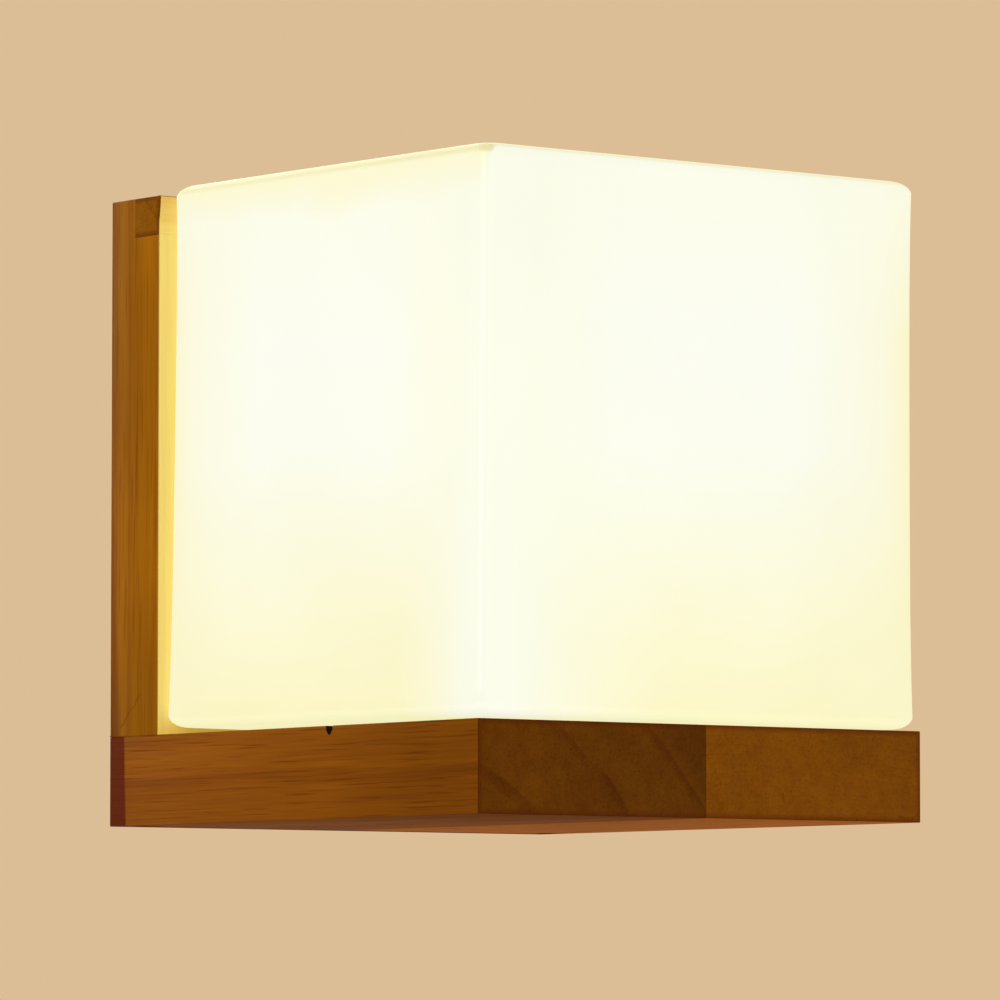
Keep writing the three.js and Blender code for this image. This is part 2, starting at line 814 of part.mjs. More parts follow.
// Terminal block: a moulded body with two brass clamps, each with two screws
function blockForm() {
  const halfX = blockWidth / 2;
  const halfZ = blockLength / 2;
  let body = toSolid(block([-halfX, panelBackY, blockZ - halfZ], [halfX, blockBackY, blockZ + halfZ]));
  const poles = [-polePitch / 2, polePitch / 2];
  const rows = [blockZ - towerPitch / 2, blockZ + towerPitch / 2];
  for (const x of poles) {
    for (const z of rows) {
      const tower = rod(towerRadius, 0, blockDepth + towerHeight, screwSides).rotateX(-Math.PI / 2);
      body = body.add(toSolid(tower.translate(x, panelBackY, z)));
    }
  }
  for (const x of poles) {
    const bore = rod(clampRadius + fitGap, -halfZ - cutOver, halfZ + cutOver, screwSides);
    body = body.subtract(toSolid(bore.translate(x, clampY, blockZ)));
    for (const z of rows) {
      const well = rod(terminalScrewRadius + fitGap, 0, blockDepth + towerHeight + cutOver, screwSides);
      body = body.subtract(toSolid(well.rotateX(-Math.PI / 2).translate(x, clampY, z)));
    }
  }
  return toGeometry(withoutScrews(body));
}

add('terminal_block', blockForm(), whitePlastic());

const wireNames = [['live', -1, brownWire], ['neutral', 1, blueWire]];

for (const [name, side] of wireNames) {
  const x = side * polePitch / 2;
  let clamp = toSolid(rod(clampRadius, -clampLength / 2, clampLength / 2, screwSides));
  clamp = clamp.subtract(toSolid(rod(clampBoreRadius, -clampLength, clampLength, screwSides)));
  for (const [rowName, row] of [['lower', -1], ['upper', 1]]) {
    const z = row * towerPitch / 2;
    const tapped = rod(terminalScrewRadius + fitGap / 2, 0, clampRadius + cutOver, screwSides);
    clamp = clamp.subtract(toSolid(tapped.rotateX(-Math.PI / 2).translate(0, 0, z)));
    const tip = wireRadius + fitGap;
    const form = rod(terminalScrewRadius, tip, tip + terminalScrewLength, screwSides).rotateX(-Math.PI / 2);
    add(`terminal_screw_${name}_${rowName}`, form, brass()).position.set(x, clampY, blockZ + z);
  }
  add(`terminal_clamp_${name}`, toGeometry(clamp), brass()).position.set(x, clampY, blockZ);
}

// Wires: from the insert down the nipple, along the channel, up behind the panel to the clamps
const wireSides = 8;
const wireSteps = 54;

// A point on the way from a corner to a neighbour, where the bend at that corner begins or ends
function bendEnd(corner, neighbour) {
  const reach = Math.min(wireBend, corner.distanceTo(neighbour) / 2);
  return neighbour.clone().sub(corner).setLength(reach).add(corner);
}

function routed(corners) {
  const path = new THREE.CurvePath();
  let from = corners[0];
  for (let index = 1; index + 1 < corners.length; index += 1) {
    const start = bendEnd(corners[index], corners[index - 1]);
    const end = bendEnd(corners[index], corners[index + 1]);
    path.add(new THREE.LineCurve3(from, start));
    path.add(new THREE.QuadraticBezierCurve3(start, corners[index], end));
    from = end;
  }
  path.add(new THREE.LineCurve3(from, corners[corners.length - 1]));
  return path;
}

function wire(side) {
  const x = side * wireSpacing / 2;
  const poleX = side * polePitch / 2;
  const low = channelFloor + wireFloorGap + wireRadius;
  const clampFoot = blockZ - clampLength / 2;
  const corners = [
    new THREE.Vector3(x, shadeY, insertBottom - fitGap),
    new THREE.Vector3(x, shadeY, low),
    new THREE.Vector3(x, clampY, low),
    new THREE.Vector3(x, clampY, shelfTop + wireBend),
    new THREE.Vector3(poleX, clampY, clampFoot - 2 * wireBend),
    new THREE.Vector3(poleX, clampY, clampFoot + wireEntry),
  ];
  const circle = new THREE.EllipseCurve(0, 0, wireRadius, wireRadius);
  const section = new THREE.Shape(circle.getPoints(wireSides));
  return new THREE.ExtrudeGeometry(section, { extrudePath: routed(corners), steps: wireSteps });
}

for (const [name, side, colour] of wireNames) {
  add(`${name}_wire`, wire(side), colour());
}

for (const { name, size, head, direction, place } of screws) {
  add(name, screwForm(size, head, 0, direction, place), zincSteel());
}

export default lamp;
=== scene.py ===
# A small wall lamp: a wooden shelf and a finger-jointed back carry a block of opal glass, which
# stands loose over a lampholder and a screw-in bulb. Metres; the wall is the plane y = 0.

import math

import bmesh
import bpy
from mathutils import Matrix, Vector, noise


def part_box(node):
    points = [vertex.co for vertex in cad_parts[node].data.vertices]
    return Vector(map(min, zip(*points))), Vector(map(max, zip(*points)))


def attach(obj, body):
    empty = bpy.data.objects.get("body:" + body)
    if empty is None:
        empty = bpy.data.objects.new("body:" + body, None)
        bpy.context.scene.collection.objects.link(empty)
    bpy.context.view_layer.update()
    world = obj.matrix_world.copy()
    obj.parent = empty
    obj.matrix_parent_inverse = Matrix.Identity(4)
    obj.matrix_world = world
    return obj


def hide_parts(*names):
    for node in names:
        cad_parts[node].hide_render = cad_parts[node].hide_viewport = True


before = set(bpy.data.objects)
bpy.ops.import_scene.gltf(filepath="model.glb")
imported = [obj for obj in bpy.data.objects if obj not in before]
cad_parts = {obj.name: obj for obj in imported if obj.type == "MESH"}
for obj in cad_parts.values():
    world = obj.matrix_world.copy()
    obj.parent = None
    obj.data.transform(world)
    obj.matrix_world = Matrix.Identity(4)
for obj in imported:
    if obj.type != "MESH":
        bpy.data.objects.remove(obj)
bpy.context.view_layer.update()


# The camera stands to the left of the lamp and a little below the shelf, two metres off, with a
# long lens, and looks up by four degrees.

camera_place = Vector((-1.20472, -1.65772, -0.18999))
camera_turn = math.radians(37.3497)
camera_rise = math.radians(4.00556)
camera_aim = Vector((
    math.sin(camera_turn) * math.cos(camera_rise),
    math.cos(camera_turn) * math.cos(camera_rise),
    math.sin(camera_rise),
))
lens = bpy.data.cameras.new("camera")
lens.lens = 261.3985
lens.sensor_width = 36
lens.clip_start = 0.05
camera = bpy.data.objects.new("camera", lens)
camera.location = camera_place
camera.rotation_euler = camera_aim.to_track_quat("-Z", "Y").to_euler()
bpy.context.scene.collection.objects.link(camera)
bpy.context.scene.camera = camera


# The shelf: two staves of oiled rubberwood, glued edge to edge and then shaped as one board.
# A recess is turned into the top for the glass, with a pocket under the lampholder, a routed
# channel for the wires and a small notch in the left edge.

board_low, board_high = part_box("shelf_left_stave")
board_high.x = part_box("shelf_right_stave")[1].x
seam_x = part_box("shelf_left_stave")[1].x
glass_low, glass_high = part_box("glass_shade")
middle_y = (glass_low.y + glass_high.y) / 2
recess_radius = 0.044
recess_floor = board_high.z - 0.008
pocket_radius = 0.011
channel_width = 0.008
channel_floor = board_high.z - 0.014
channel_end = -0.003
notch_y = -0.1029
notch_half = 0.0016
notch_depth = 0.0024
notch_reach = 0.004


def new_object(name, mesh):
    """Puts a mesh in the scene under the mesh's own place."""
    made = bpy.data.objects.new(name, mesh)
    bpy.context.scene.collection.objects.link(made)
    return made


def finish_mesh(form, name, smooth_under=35):
    """Turns the edited form into an object: round surfaces shade smoothly, sharp edges stay."""
    bmesh.ops.recalc_face_normals(form, faces=form.faces)
    limit = math.radians(smooth_under)
    for face in form.faces:
        face.smooth = True
    for edge in form.edges:
        edge.smooth = len(edge.link_faces) == 2 and edge.calc_face_angle(0) < limit
    mesh = bpy.data.meshes.new(name)
    form.to_mesh(mesh)
    form.free()
    return new_object(name, mesh)


def box_form(low, high):
    form = bmesh.new()
    bmesh.ops.create_cube(form, size=1)
    for vertex in form.verts:
        for axis in range(3):
            vertex.co[axis] = high[axis] if vertex.co[axis] > 0 else low[axis]
    return form


def rod_form(radius, low, high, sides, centre=(0, 0)):
    form = bmesh.new()
    bmesh.ops.create_cone(form, cap_ends=True, segments=sides, radius1=radius, radius2=radius,
                          depth=high - low)
    bmesh.ops.translate(form, verts=form.verts, vec=(centre[0], centre[1], (low + high) / 2))
    return form


def ease(form, width, steps, wanted=lambda edge: True, over=25):
    """Rounds the sharp edges that are wanted."""
    limit = math.radians(over)
    sharp = [edge for edge in form.edges
             if len(edge.link_faces) == 2 and edge.calc_face_angle(0) > limit and wanted(edge)]
    bmesh.ops.bevel(form, geom=sharp, offset=width, segments=steps, profile=0.5,
                    affect="EDGES", clamp_overlap=True)


def cut_away(piece, form, name="cutter"):
    """Cuts a form out of a piece, and leaves nothing of the cutter."""
    bmesh.ops.recalc_face_normals(form, faces=form.faces)
    mesh = bpy.data.meshes.new(name)
    form.to_mesh(mesh)
    form.free()
    cutter = new_object(name, mesh)
    cut = piece.modifiers.new("cut", "BOOLEAN")
    cut.operation = "DIFFERENCE"
    cut.solver = "EXACT"
    cut.object = cutter
    bpy.context.view_layer.update()
    result = bpy.data.meshes.new_from_object(
        piece.evaluated_get(bpy.context.evaluated_depsgraph_get()))
    piece.modifiers.clear()
    piece.data = result
    bpy.data.objects.remove(cutter)


def sharpen(piece, under=35):
    """Marks the edges over an angle as sharp, and shades the rest smoothly."""
    form = bmesh.new()
    form.from_mesh(piece.data)
    bmesh.ops.remove_doubles(form, verts=form.verts, dist=1e-6)
    limit = math.radians(under)
    for face in form.faces:
        face.smooth = True
    for edge in form.edges:
        edge.smooth = len(edge.link_faces) == 2 and edge.calc_face_angle(0) < limit
    form.to_mesh(piece.data)
    form.free()


def shaped_board():
    form = box_form(board_low, board_high)
    ease(form, 0.0003, 3)
    board = finish_mesh(form, "shelf_board")
    top = board_high.z + 0.002
    cut_away(board, rod_form(recess_radius, recess_floor, top, 128, (0, middle_y)))
    rim = bmesh.new()
    bmesh.ops.create_cone(rim, cap_ends=True, segments=128, radius1=recess_radius - 0.0003,
                          radius2=recess_radius + 0.0011, depth=0.0014)
    bmesh.ops.translate(rim, verts=rim.verts, vec=(0, middle_y, board_high.z + 0.0001))
    cut_away(board, rim)
    cut_away(board, rod_form(pocket_radius, channel_floor, top, 64, (0, middle_y)))
    half = channel_width / 2
    cut_away(board, box_form((-half, middle_y, channel_floor), (half, channel_end, top)))
    notch = bmesh.new()
    profile = [(-notch_half, 0.0012), (-notch_half * 0.85, -notch_depth * 0.5),
               (-notch_half * 0.3, -notch_depth), (notch_half * 0.3, -notch_depth),
               (notch_half * 0.85, -notch_depth * 0.5), (notch_half, 0.0012)]
    ends = [
        [notch.verts.new((x, notch_y + across, board_high.z + up)) for across, up in profile]
        for x in (board_low.x - 0.001, board_low.x + notch_reach)
    ]
    notch.faces.new(ends[0])
    notch.faces.new(list(reversed(ends[1])))
    for index in range(len(profile)):
        after = (index + 1) % len(profile)
        notch.faces.new((ends[0][after], ends[0][index], ends[1][index], ends[1][after]))
    cut_away(board, notch)
    for x in (board_low.x + 0.005, board_high.x - 0.005):
        hole = bmesh.new()
        bmesh.ops.create_cone(hole, cap_ends=True, segments=32, radius1=0.0047, radius2=0.0020,
                              depth=0.0034)
        bmesh.ops.translate(hole, verts=hole.verts, vec=(x, -0.0115, board_low.z + 0.0016))
        cut_away(board, hole)
        cut_away(board, rod_form(0.0020, board_low.z, top, 24, (x, -0.0115)))
    return board


def half_of_board(board, name, left):
    """One stave: the shaped board sawn at the glue line, with the cut closed."""
    form = bmesh.new()
    form.from_mesh(board.data)
    whole = form.verts[:] + form.edges[:] + form.faces[:]
    cut = bmesh.ops.bisect_plane(form, geom=whole, dist=1e-7, plane_co=(seam_x, 0, 0),
                                 plane_no=(1, 0, 0), clear_outer=left, clear_inner=not left)
    edges = [item for item in cut["geom_cut"] if isinstance(item, bmesh.types.BMEdge)]
    bmesh.ops.triangle_fill(form, edges=edges, use_beauty=True)
    return finish_mesh(form, name)


def put(tree, kind, values=None, **settings):
    """Adds a shader node with its settings, and its inputs as numbers or as other sockets."""
    made = tree.nodes.new("ShaderNode" + kind)
    for name, value in settings.items():
        setattr(made, name, value)
    for name, value in (values or {}).items():
        if isinstance(value, bpy.types.NodeSocket):
            tree.links.new(value, made.inputs[name])
        else:
            made.inputs[name].default_value = value
    return made


def new_material(name, **values):
    """A material with one principled shader, which takes plain values on its own sockets."""
    material = bpy.data.materials.new(name)
    material.use_nodes = True
    tree = material.node_tree
    tree.nodes.clear()
    shader = put(tree, "BsdfPrincipled", {key.replace("_", " "): v for key, v in values.items()})
    put(tree, "OutputMaterial", {"Surface": shader.outputs["BSDF"]})
    return material, tree, shader


def ramp(tree, factor, stops, smooth=False):
    """A colour ramp from (place, grey or colour) stops."""
    made = put(tree, "ValToRGB", {"Fac": factor})
    made.color_ramp.interpolation = "EASE" if smooth else "LINEAR"
    points = made.color_ramp.elements
    while len(points) < len(stops):
        points.new(0.5)
    for point, (place, colour) in zip(points, stops):
        point.position = place
        colour = (colour,) * 3 if isinstance(colour, (int, float)) else colour
        point.color = (*colour, 1)
    return made.outputs["Color"]


def blended(tree, factor, first, second, blend="MIX"):
    made = put(tree, "Mix", data_type="RGBA", blend_type=blend)
    for index, value in ((0, factor), (6, first), (7, second)):
        if isinstance(value, bpy.types.NodeSocket):
            tree.links.new(value, made.inputs[index])
        elif index == 0:
            made.inputs[index].default_value = value
        else:
            made.inputs[index].default_value = (*value, 1)
    return made.outputs[2]


def figure(tree, operation, *values):
    """One step of arithmetic."""
    made = put(tree, "Math", operation=operation)
    for index, value in enumerate(values):
        if isinstance(value, bpy.types.NodeSocket):
            tree.links.new(value, made.inputs[index])
        else:
            made.inputs[index].default_value = value
    return made.outputs[0]


def stretched(tree, place, scale, shift=(0, 0, 0)):
    return put(tree, "Mapping", {"Vector": place, "Scale": scale, "Location": shift}).outputs[0]


def wood(name, grain, heart, pale, deep, ring, ring_share, ends=0.62, toned=(), board=None,
         dark_past=None, wall_shade=None, vein=None, lit_front=None, under=1.0):
    """Oiled rubberwood, as a solid pattern that runs through the piece along one row axis: rings
    round the heart of the log, fine fibres, short dark pores, and darker end grain."""
    material, tree, shader = new_material(name, IOR=1.45, Specular_IOR_Level=0.07,
                                          Specular_Tint=(1.0, 0.60, 0.14, 1))
    place = put(tree, "TexCoord").outputs["Object"]
    apart = put(tree, "SeparateXYZ", {0: place}).outputs
    order = {"X": (1, 2, 0), "Y": (0, 2, 1), "Z": (0, 1, 2)}[grain]
    turned = put(tree, "CombineXYZ", {i: apart[axis] for i, axis in enumerate(order)}).outputs[0]
    log = stretched(tree, turned, (1, 1, 1), (-heart[0], -heart[1], 0))
    sway = put(tree, "TexNoise", {"Vector": stretched(tree, log, (26, 26, 6)), "Scale": 1,
                                  "Detail": 3}).outputs["Color"]
    sway = put(tree, "VectorMath", {0: sway, 1: (0.5, 0.5, 0.5)}, operation="SUBTRACT").outputs[0]
    sway = put(tree, "VectorMath", {0: sway, "Scale": 0.008}, operation="SCALE").outputs[0]
    swayed = put(tree, "VectorMath", {0: log, 1: sway}, operation="ADD").outputs[0]
    flat = put(tree, "VectorMath", {0: swayed, 1: (1, 1, 0)}, operation="MULTIPLY").outputs[0]
    away = put(tree, "VectorMath", {0: flat}, operation="LENGTH").outputs["Value"]
    phase = figure(tree, "FRACT", figure(tree, "DIVIDE", away, ring))
    rings = ramp(tree, phase, [(0, 0.0), (0.80, 0.22), (0.92, 1.0), (0.95, 1.0), (0.98, 0.0)])
    uneven = put(tree, "TexNoise", {"Vector": stretched(tree, log, (75, 75, 10)), "Scale": 1,
                                    "Detail": 3, "Roughness": 0.6}).outputs["Fac"]
    rings = figure(tree, "MULTIPLY", rings, figure(tree, "MULTIPLY", uneven, ring_share * 2))
    fibre = put(tree, "TexNoise", {"Vector": stretched(tree, log, (1250, 1250, 26)), "Scale": 1,
                                   "Detail": 3, "Roughness": 0.62}).outputs["Fac"]
    band = put(tree, "TexNoise", {"Vector": stretched(tree, log, (230, 230, 8)), "Scale": 1,
                                  "Detail": 3}).outputs["Fac"]
    streak = figure(tree, "ADD", figure(tree, "MULTIPLY", fibre, 0.5),
                    figure(tree, "MULTIPLY", band, 0.5))
    streak = ramp(tree, streak, [(0.36, 0.0), (0.64, 1.0)])
    tone = figure(tree, "ADD", figure(tree, "MULTIPLY", streak, 0.6), rings)
    tone = put(tree, "Clamp", {"Value": tone}).outputs[0]
    colour = blended(tree, tone, pale, deep)
    pore = put(tree, "TexNoise", {"Vector": stretched(tree, log, (1500, 1500, 38), (5, 2, 9)),
                                  "Scale": 1, "Detail": 1}).outputs["Fac"]
    pores = ramp(tree, pore, [(0.57, 0.0), (0.74, 1.0)])
    facing = put(tree, "NewGeometry").outputs["Normal"]
    across = {"X": (1, 0, 0), "Y": (0, 1, 0), "Z": (0, 0, 1)}[grain]
    along = put(tree, "VectorMath", {0: facing, 1: across}, operation="DOT_PRODUCT")
    cut = figure(tree, "ABSOLUTE", along.outputs["Value"])
    shown = ramp(tree, cut, [(0.5, 0.55), (0.85, 0.30)])
    colour = blended(tree, figure(tree, "MULTIPLY", pores, shown), colour,
                     tuple(channel * share for channel, share in zip(deep, (0.62, 0.45, 0.45))))
    broad = put(tree, "TexNoise", {"Vector": stretched(tree, log, (34, 34, 12), (3, 1, 2)),
                                      "Scale": 1, "Detail": 2}).outputs["Fac"]
    colour = blended(tree, 1.0, colour, ramp(tree, broad, [(0.3, 0.86), (0.7, 1.08)]),
                     "MULTIPLY")
    for axis, first, last, share in toned:
        run = put(tree, "MapRange", {"Value": apart[axis], "From Min": first, "From Max": last})
        colour = blended(tree, 1.0, colour, ramp(tree, run.outputs[0], [(0, 1.0), (1, share)]),
                         "MULTIPLY")
    if dark_past:
        past = figure(tree, "MULTIPLY", figure(tree, "SUBTRACT", away, dark_past[0]), 260)
        colour = blended(tree, 1.0, colour, ramp(tree, past, [(0, 1.0), (1, dark_past[1])]),
                         "MULTIPLY")
    colour = blended(tree, 1.0, colour, ramp(tree, cut, [(0.5, 1.0), (0.85, ends)]), "MULTIPLY")
    # Painted shade and light: downward faces are multiplied by the under share, which darkens the left
    # stave's underside and lightens the right one's, in place of a dark and a bright wall reflected there.
    below = put(tree, "VectorMath", {0: facing, 1: (0, 0, -1)}, operation="DOT_PRODUCT")
    colour = blended(tree, 1.0, colour, ramp(tree, below.outputs["Value"],
                                             [(0.5, 1.0), (0.9, under)]), "MULTIPLY")
    # End-grain faces turn darker within about 2 mm of the board's outline.
    if board:
        rim = None
        for axis in order[:2]:
            for side in (figure(tree, "SUBTRACT", apart[axis], board[0][axis]),
                         figure(tree, "SUBTRACT", board[1][axis], apart[axis])):
                rim = side if rim is None else figure(tree, "MINIMUM", rim, side)
        edge_darkening = ramp(tree, figure(tree, "MULTIPLY", rim, 500), [(0.1, 1.0), (0.9, 0.0)])
        edge_darkening = figure(tree, "MULTIPLY", edge_darkening, figure(tree, "GREATER_THAN", cut, 0.6))
        colour = blended(tree, figure(tree, "MULTIPLY", edge_darkening, 0.75), colour,
                         (deep[0] * 0.5, deep[1] * 0.3, deep[2] * 0.3))
    # Painted shade: a dark red-brown band along the back, next to the wall, with a softer darkening
    # towards the back face; on the back face itself the painted shade is patchy.
    if wall_shade:
        reach = put(tree, "MapRange", {"Value": apart[2], "From Min": wall_shade[0],
                                       "From Max": wall_shade[1], "To Min": wall_shade[2],
                                       "To Max": -0.0004}).outputs[0]
        depth = figure(tree, "ADD", apart[1], reach)
        depth = figure(tree, "ADD", depth, figure(tree, "MULTIPLY", uneven, 0.0012))
        stain = ramp(tree, figure(tree, "MULTIPLY", depth, wall_shade[5]),
                     [(0.2, 0.0), (0.9, wall_shade[3])])
        shade = ramp(tree, figure(tree, "ADD", figure(tree, "MULTIPLY", apart[1], 200), 1),
                     [(0.05, 0.0), (0.95, wall_shade[4])])
        stain = figure(tree, "MAXIMUM", stain, shade)
        behind = put(tree, "VectorMath", {0: put(tree, "NewGeometry").outputs["Normal"],
                                          1: (0, 1, 0)}, operation="DOT_PRODUCT")
        shade_patches = ramp(tree, figure(tree, "ADD", figure(tree, "MULTIPLY", streak, 0.25), broad),
                        [(0.45, 0.25), (0.80, 0.80)])
        patchy = ramp(tree, behind.outputs["Value"], [(0.6, 0.0), (0.9, 1.0)])
        stain = figure(tree, "MULTIPLY", stain, blended(tree, patchy, (1, 1, 1), shade_patches))
        colour = blended(tree, stain, colour, (0.092, 0.0115, 0.0007))
    if vein:
        first, last = Vector(vein[0]), Vector(vein[1])
        run = (last - first).normalized()
        spot = put(tree, "CombineXYZ", {0: apart[1], 1: apart[2]}).outputs[0]
        spot = put(tree, "VectorMath", {0: spot, 1: (*first, 0)}, operation="SUBTRACT").outputs[0]
        side = put(tree, "VectorMath", {0: spot, 1: (-run[1], run[0], 0)}, operation="DOT_PRODUCT")
        ahead = put(tree, "VectorMath", {0: spot, 1: (*run, 0)}, operation="DOT_PRODUCT")
        crook = put(tree, "TexNoise", {"Vector": place, "Scale": 330, "Detail": 2}).outputs["Fac"]
        bent = figure(tree, "ADD", side.outputs["Value"],
                      figure(tree, "MULTIPLY", figure(tree, "SUBTRACT", crook, 0.5), 0.0032))
        line = ramp(tree, figure(tree, "MULTIPLY", figure(tree, "ABSOLUTE", bent), 1800),
                    [(0.2, 1.0), (0.9, 0.0)])
        span = figure(tree, "DIVIDE", ahead.outputs["Value"], (last - first).length)
        line = figure(tree, "MULTIPLY", line, ramp(tree, span, [
            (0.0, 0.0), (0.1, 1.0), (0.9, 1.0), (1.0, 0.0)]))
        colour = blended(tree, figure(tree, "MULTIPLY", line, 0.7), colour,
                         (0.15, 0.045, 0.002))
    # Painted light: faces that look ahead take a pale yellow colour, as if lit by the glowing glass. It is
    # warmer just above the shelf, more orange at the very top, and a little darker inward of the outer 5
    # mm.
    if lit_front:
        front = put(tree, "VectorMath", {0: facing, 1: (0, -1, 0)}, operation="DOT_PRODUCT")
        front = ramp(tree, front.outputs["Value"], [(0.6, 0.0), (0.95, 1.0)])
        glow_lit_colour = blended(tree, tone, lit_front[0], lit_front[1])
        outer = put(tree, "MapRange", {"Value": figure(tree, "ABSOLUTE", apart[0]),
                                       "From Min": 0.070, "From Max": 0.075}).outputs[0]
        glow_lit_colour = blended(tree, 1.0, glow_lit_colour, ramp(tree, outer, [(0, 0.89), (1, 1.0)]),
                           "MULTIPLY")
        rise = put(tree, "MapRange", {"Value": apart[2], "From Min": board_high.z,
                                      "From Max": lit_front[2]}).outputs[0]
        glow_lit_colour = blended(tree, 1.0, glow_lit_colour, ramp(tree, rise, [
            (0.0, (1.13, 0.99, 0.66)), (0.035, (1, 1, 1)), (0.93, (1, 1, 1)),
            (1.0, (1.04, 0.86, 0.72))]), "MULTIPLY")
        colour = blended(tree, front, colour, glow_lit_colour)
    tree.links.new(colour, shader.inputs["Base Color"])
    sheen = figure(tree, "ADD", figure(tree, "MULTIPLY", fibre, 0.22),
                   figure(tree, "ADD", figure(tree, "MULTIPLY", pores, 0.2), 0.38))
    tree.links.new(sheen, shader.inputs["Roughness"])
    tree.links.new(ramp(tree, below.outputs["Value"], [(0.5, 0.07), (0.9, 0.012)]),
                   shader.inputs["Specular IOR Level"])
    height = figure(tree, "SUBTRACT", figure(tree, "MULTIPLY", fibre, 0.35), pores)
    bump = put(tree, "Bump", {"Height": height, "Strength": 0.35, "Distance": 0.00012})
    tree.links.new(bump.outputs[0], shader.inputs["Normal"])
    return material


board = shaped_board()
left_stave = half_of_board(board, "left_stave", True)
right_stave = half_of_board(board, "right_stave", False)
bpy.data.objects.remove(board)
board_box = ((board_low.x, board_low.y, board_low.z), (board_high.x, board_high.y, board_high.z))
# Painted shade along the shelf's back edge, next to the wall.
shelf_wall_shade = (board_low.z, board_high.z + 0.2, 0.0078, 1.0, 0.0, 900)
# Painted shade and light on the undersides: the left stave darker, the right one lighter.
left_stave.data.materials.append(
    wood("wood_left_stave", "Y", (-0.107, -0.204), (0.245, 0.076, 0.0018), (0.150, 0.037, 0.0013),
         0.02101, 0.45, ends=0.68, board=board_box, dark_past=(0.1262, 0.80),
         toned=((1, -0.062, -0.160, 0.76), (0, -0.074, 0.01, 1.0)), wall_shade=shelf_wall_shade,
         under=0.88))
# Painted shade: the inner faces of the notch take a near-black copy of the wood.
left_stave.data.materials.append(
    wood("shaded_notch_wood", "Y", (-0.107, -0.204), (0.016, 0.005, 0.0005),
         (0.007, 0.002, 0.0003), 0.02101, 0.45))
for face in left_stave.data.polygons:
    inside = (abs(face.center.y - notch_y) < notch_half
              and board_high.z - notch_depth * 1.05 < face.center.z < board_high.z - 0.00005
              and board_low.x + 0.0005 < face.center.x < board_low.x + notch_reach + 0.0001)
    if inside:
        face.material_index = 1
right_stave.data.materials.append(
    wood("wood_right_stave", "Y", (0.02, -0.42), (0.285, 0.092, 0.0018), (0.187, 0.050, 0.0014),
         0.0023, 0.16, ends=0.75, board=board_box, wall_shade=shelf_wall_shade, under=1.4))
for stave, node in ((left_stave, "shelf_left_stave"), (right_stave, "shelf_right_stave")):
    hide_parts(node)
    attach(stave, "lamp")


# The back: two upright sides, a top rail with a finger let through each side, and a panel
# between them, flush at the front. The same wood, glued, with the outer edges sanded round.


def copy_of(node, name, easing, steps=2, over=25, dissolve=1.0, under=181):
    """A piece of a node's own shape: its facets joined up and its sharp edges eased."""
    form = bmesh.new()
    form.from_mesh(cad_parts[node].data)
    bmesh.ops.remove_doubles(form, verts=form.verts, dist=2e-6)
    bmesh.ops.dissolve_limit(form, angle_limit=math.radians(dissolve), verts=form.verts,
                             edges=form.edges)
    if easing:
        ease(form, easing, steps, lambda edge: edge.calc_face_angle(0) < math.radians(under), over)
    return finish_mesh(form, name)


# Painted shade along the sides' back edges, next to the wall, narrowing upwards.
side_wall_shade = (board_high.z, 0.004, 0.0056, 0.55, 0.38, 350)
rail_low, rail_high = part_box("back_top_rail")
# Painted light: the pale colours of the back's front faces where the glass glow lights them, and the
# height of the rail's top where that painted light ends.
glow_lit_front = ((0.865, 0.715, 0.216), (0.820, 0.600, 0.168), rail_high.z)
back_pieces = (
    ("back_left_side", "left_side", "side_wood", dict(
        grain="Z", heart=(-0.13, -0.075), pale=(0.300, 0.112, 0.0020), deep=(0.205, 0.066, 0.0014),
        ring=0.0145, ring_share=0.35, wall_shade=side_wall_shade,
        toned=((2, -0.075, -0.120, 0.82),), vein=((-0.0155, -0.1035), (-0.0042, -0.1138)))),
    ("back_right_side", "right_side", "side_wood", dict(
        grain="Z", heart=(0.13, 0.03), pale=(0.295, 0.11, 0.0020), deep=(0.20, 0.064, 0.0014),
        ring=0.012, ring_share=0.35, wall_shade=side_wall_shade)),
    ("back_top_rail", "top_rail", "end_grain_wood", dict(
        grain="X", heart=(-0.07, 0.08), pale=(0.29, 0.105, 0.0020), deep=(0.195, 0.057, 0.0014),
        ring=0.009, ring_share=0.4, ends=0.80, board=(tuple(rail_low), tuple(rail_high)))),
    ("back_panel", "panel", "side_wood", dict(
        grain="Z", heart=(0.02, 0.09), pale=(0.31, 0.12, 0.0022), deep=(0.21, 0.07, 0.0015),
        ring=0.014, ring_share=0.35)),
)
worn_wedge = ((0.002384, -0.002, 0.0129), (-0.002, 0.003637, 0.0129), (-0.002, -0.002, 0.0129),
              (-0.000064, -0.000083, -0.002))
for node, name, slot, look in back_pieces:
    piece = copy_of(node, name, 0.00012, under=60)
    if node == "back_top_rail":
        for side in (-1, 1):
            wedge = bmesh.new()
            tips = [wedge.verts.new((side * (rail_high.x - across), rail_low.y + back,
                                     rail_low.z + up)) for across, back, up in worn_wedge]
            for left_out in tips:
                wedge.faces.new([tip for tip in tips if tip is not left_out])
            cut_away(piece, wedge)
        sharpen(piece)
    piece.data.materials.append(wood("wood_" + name, lit_front=glow_lit_front, **look))
    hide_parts(node)
    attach(piece, "lamp")


# The hanging plate: zinc-plated sheet steel, stamped with two keyholes, let into the backs of the
# sides. Fine brushed lines run along it.


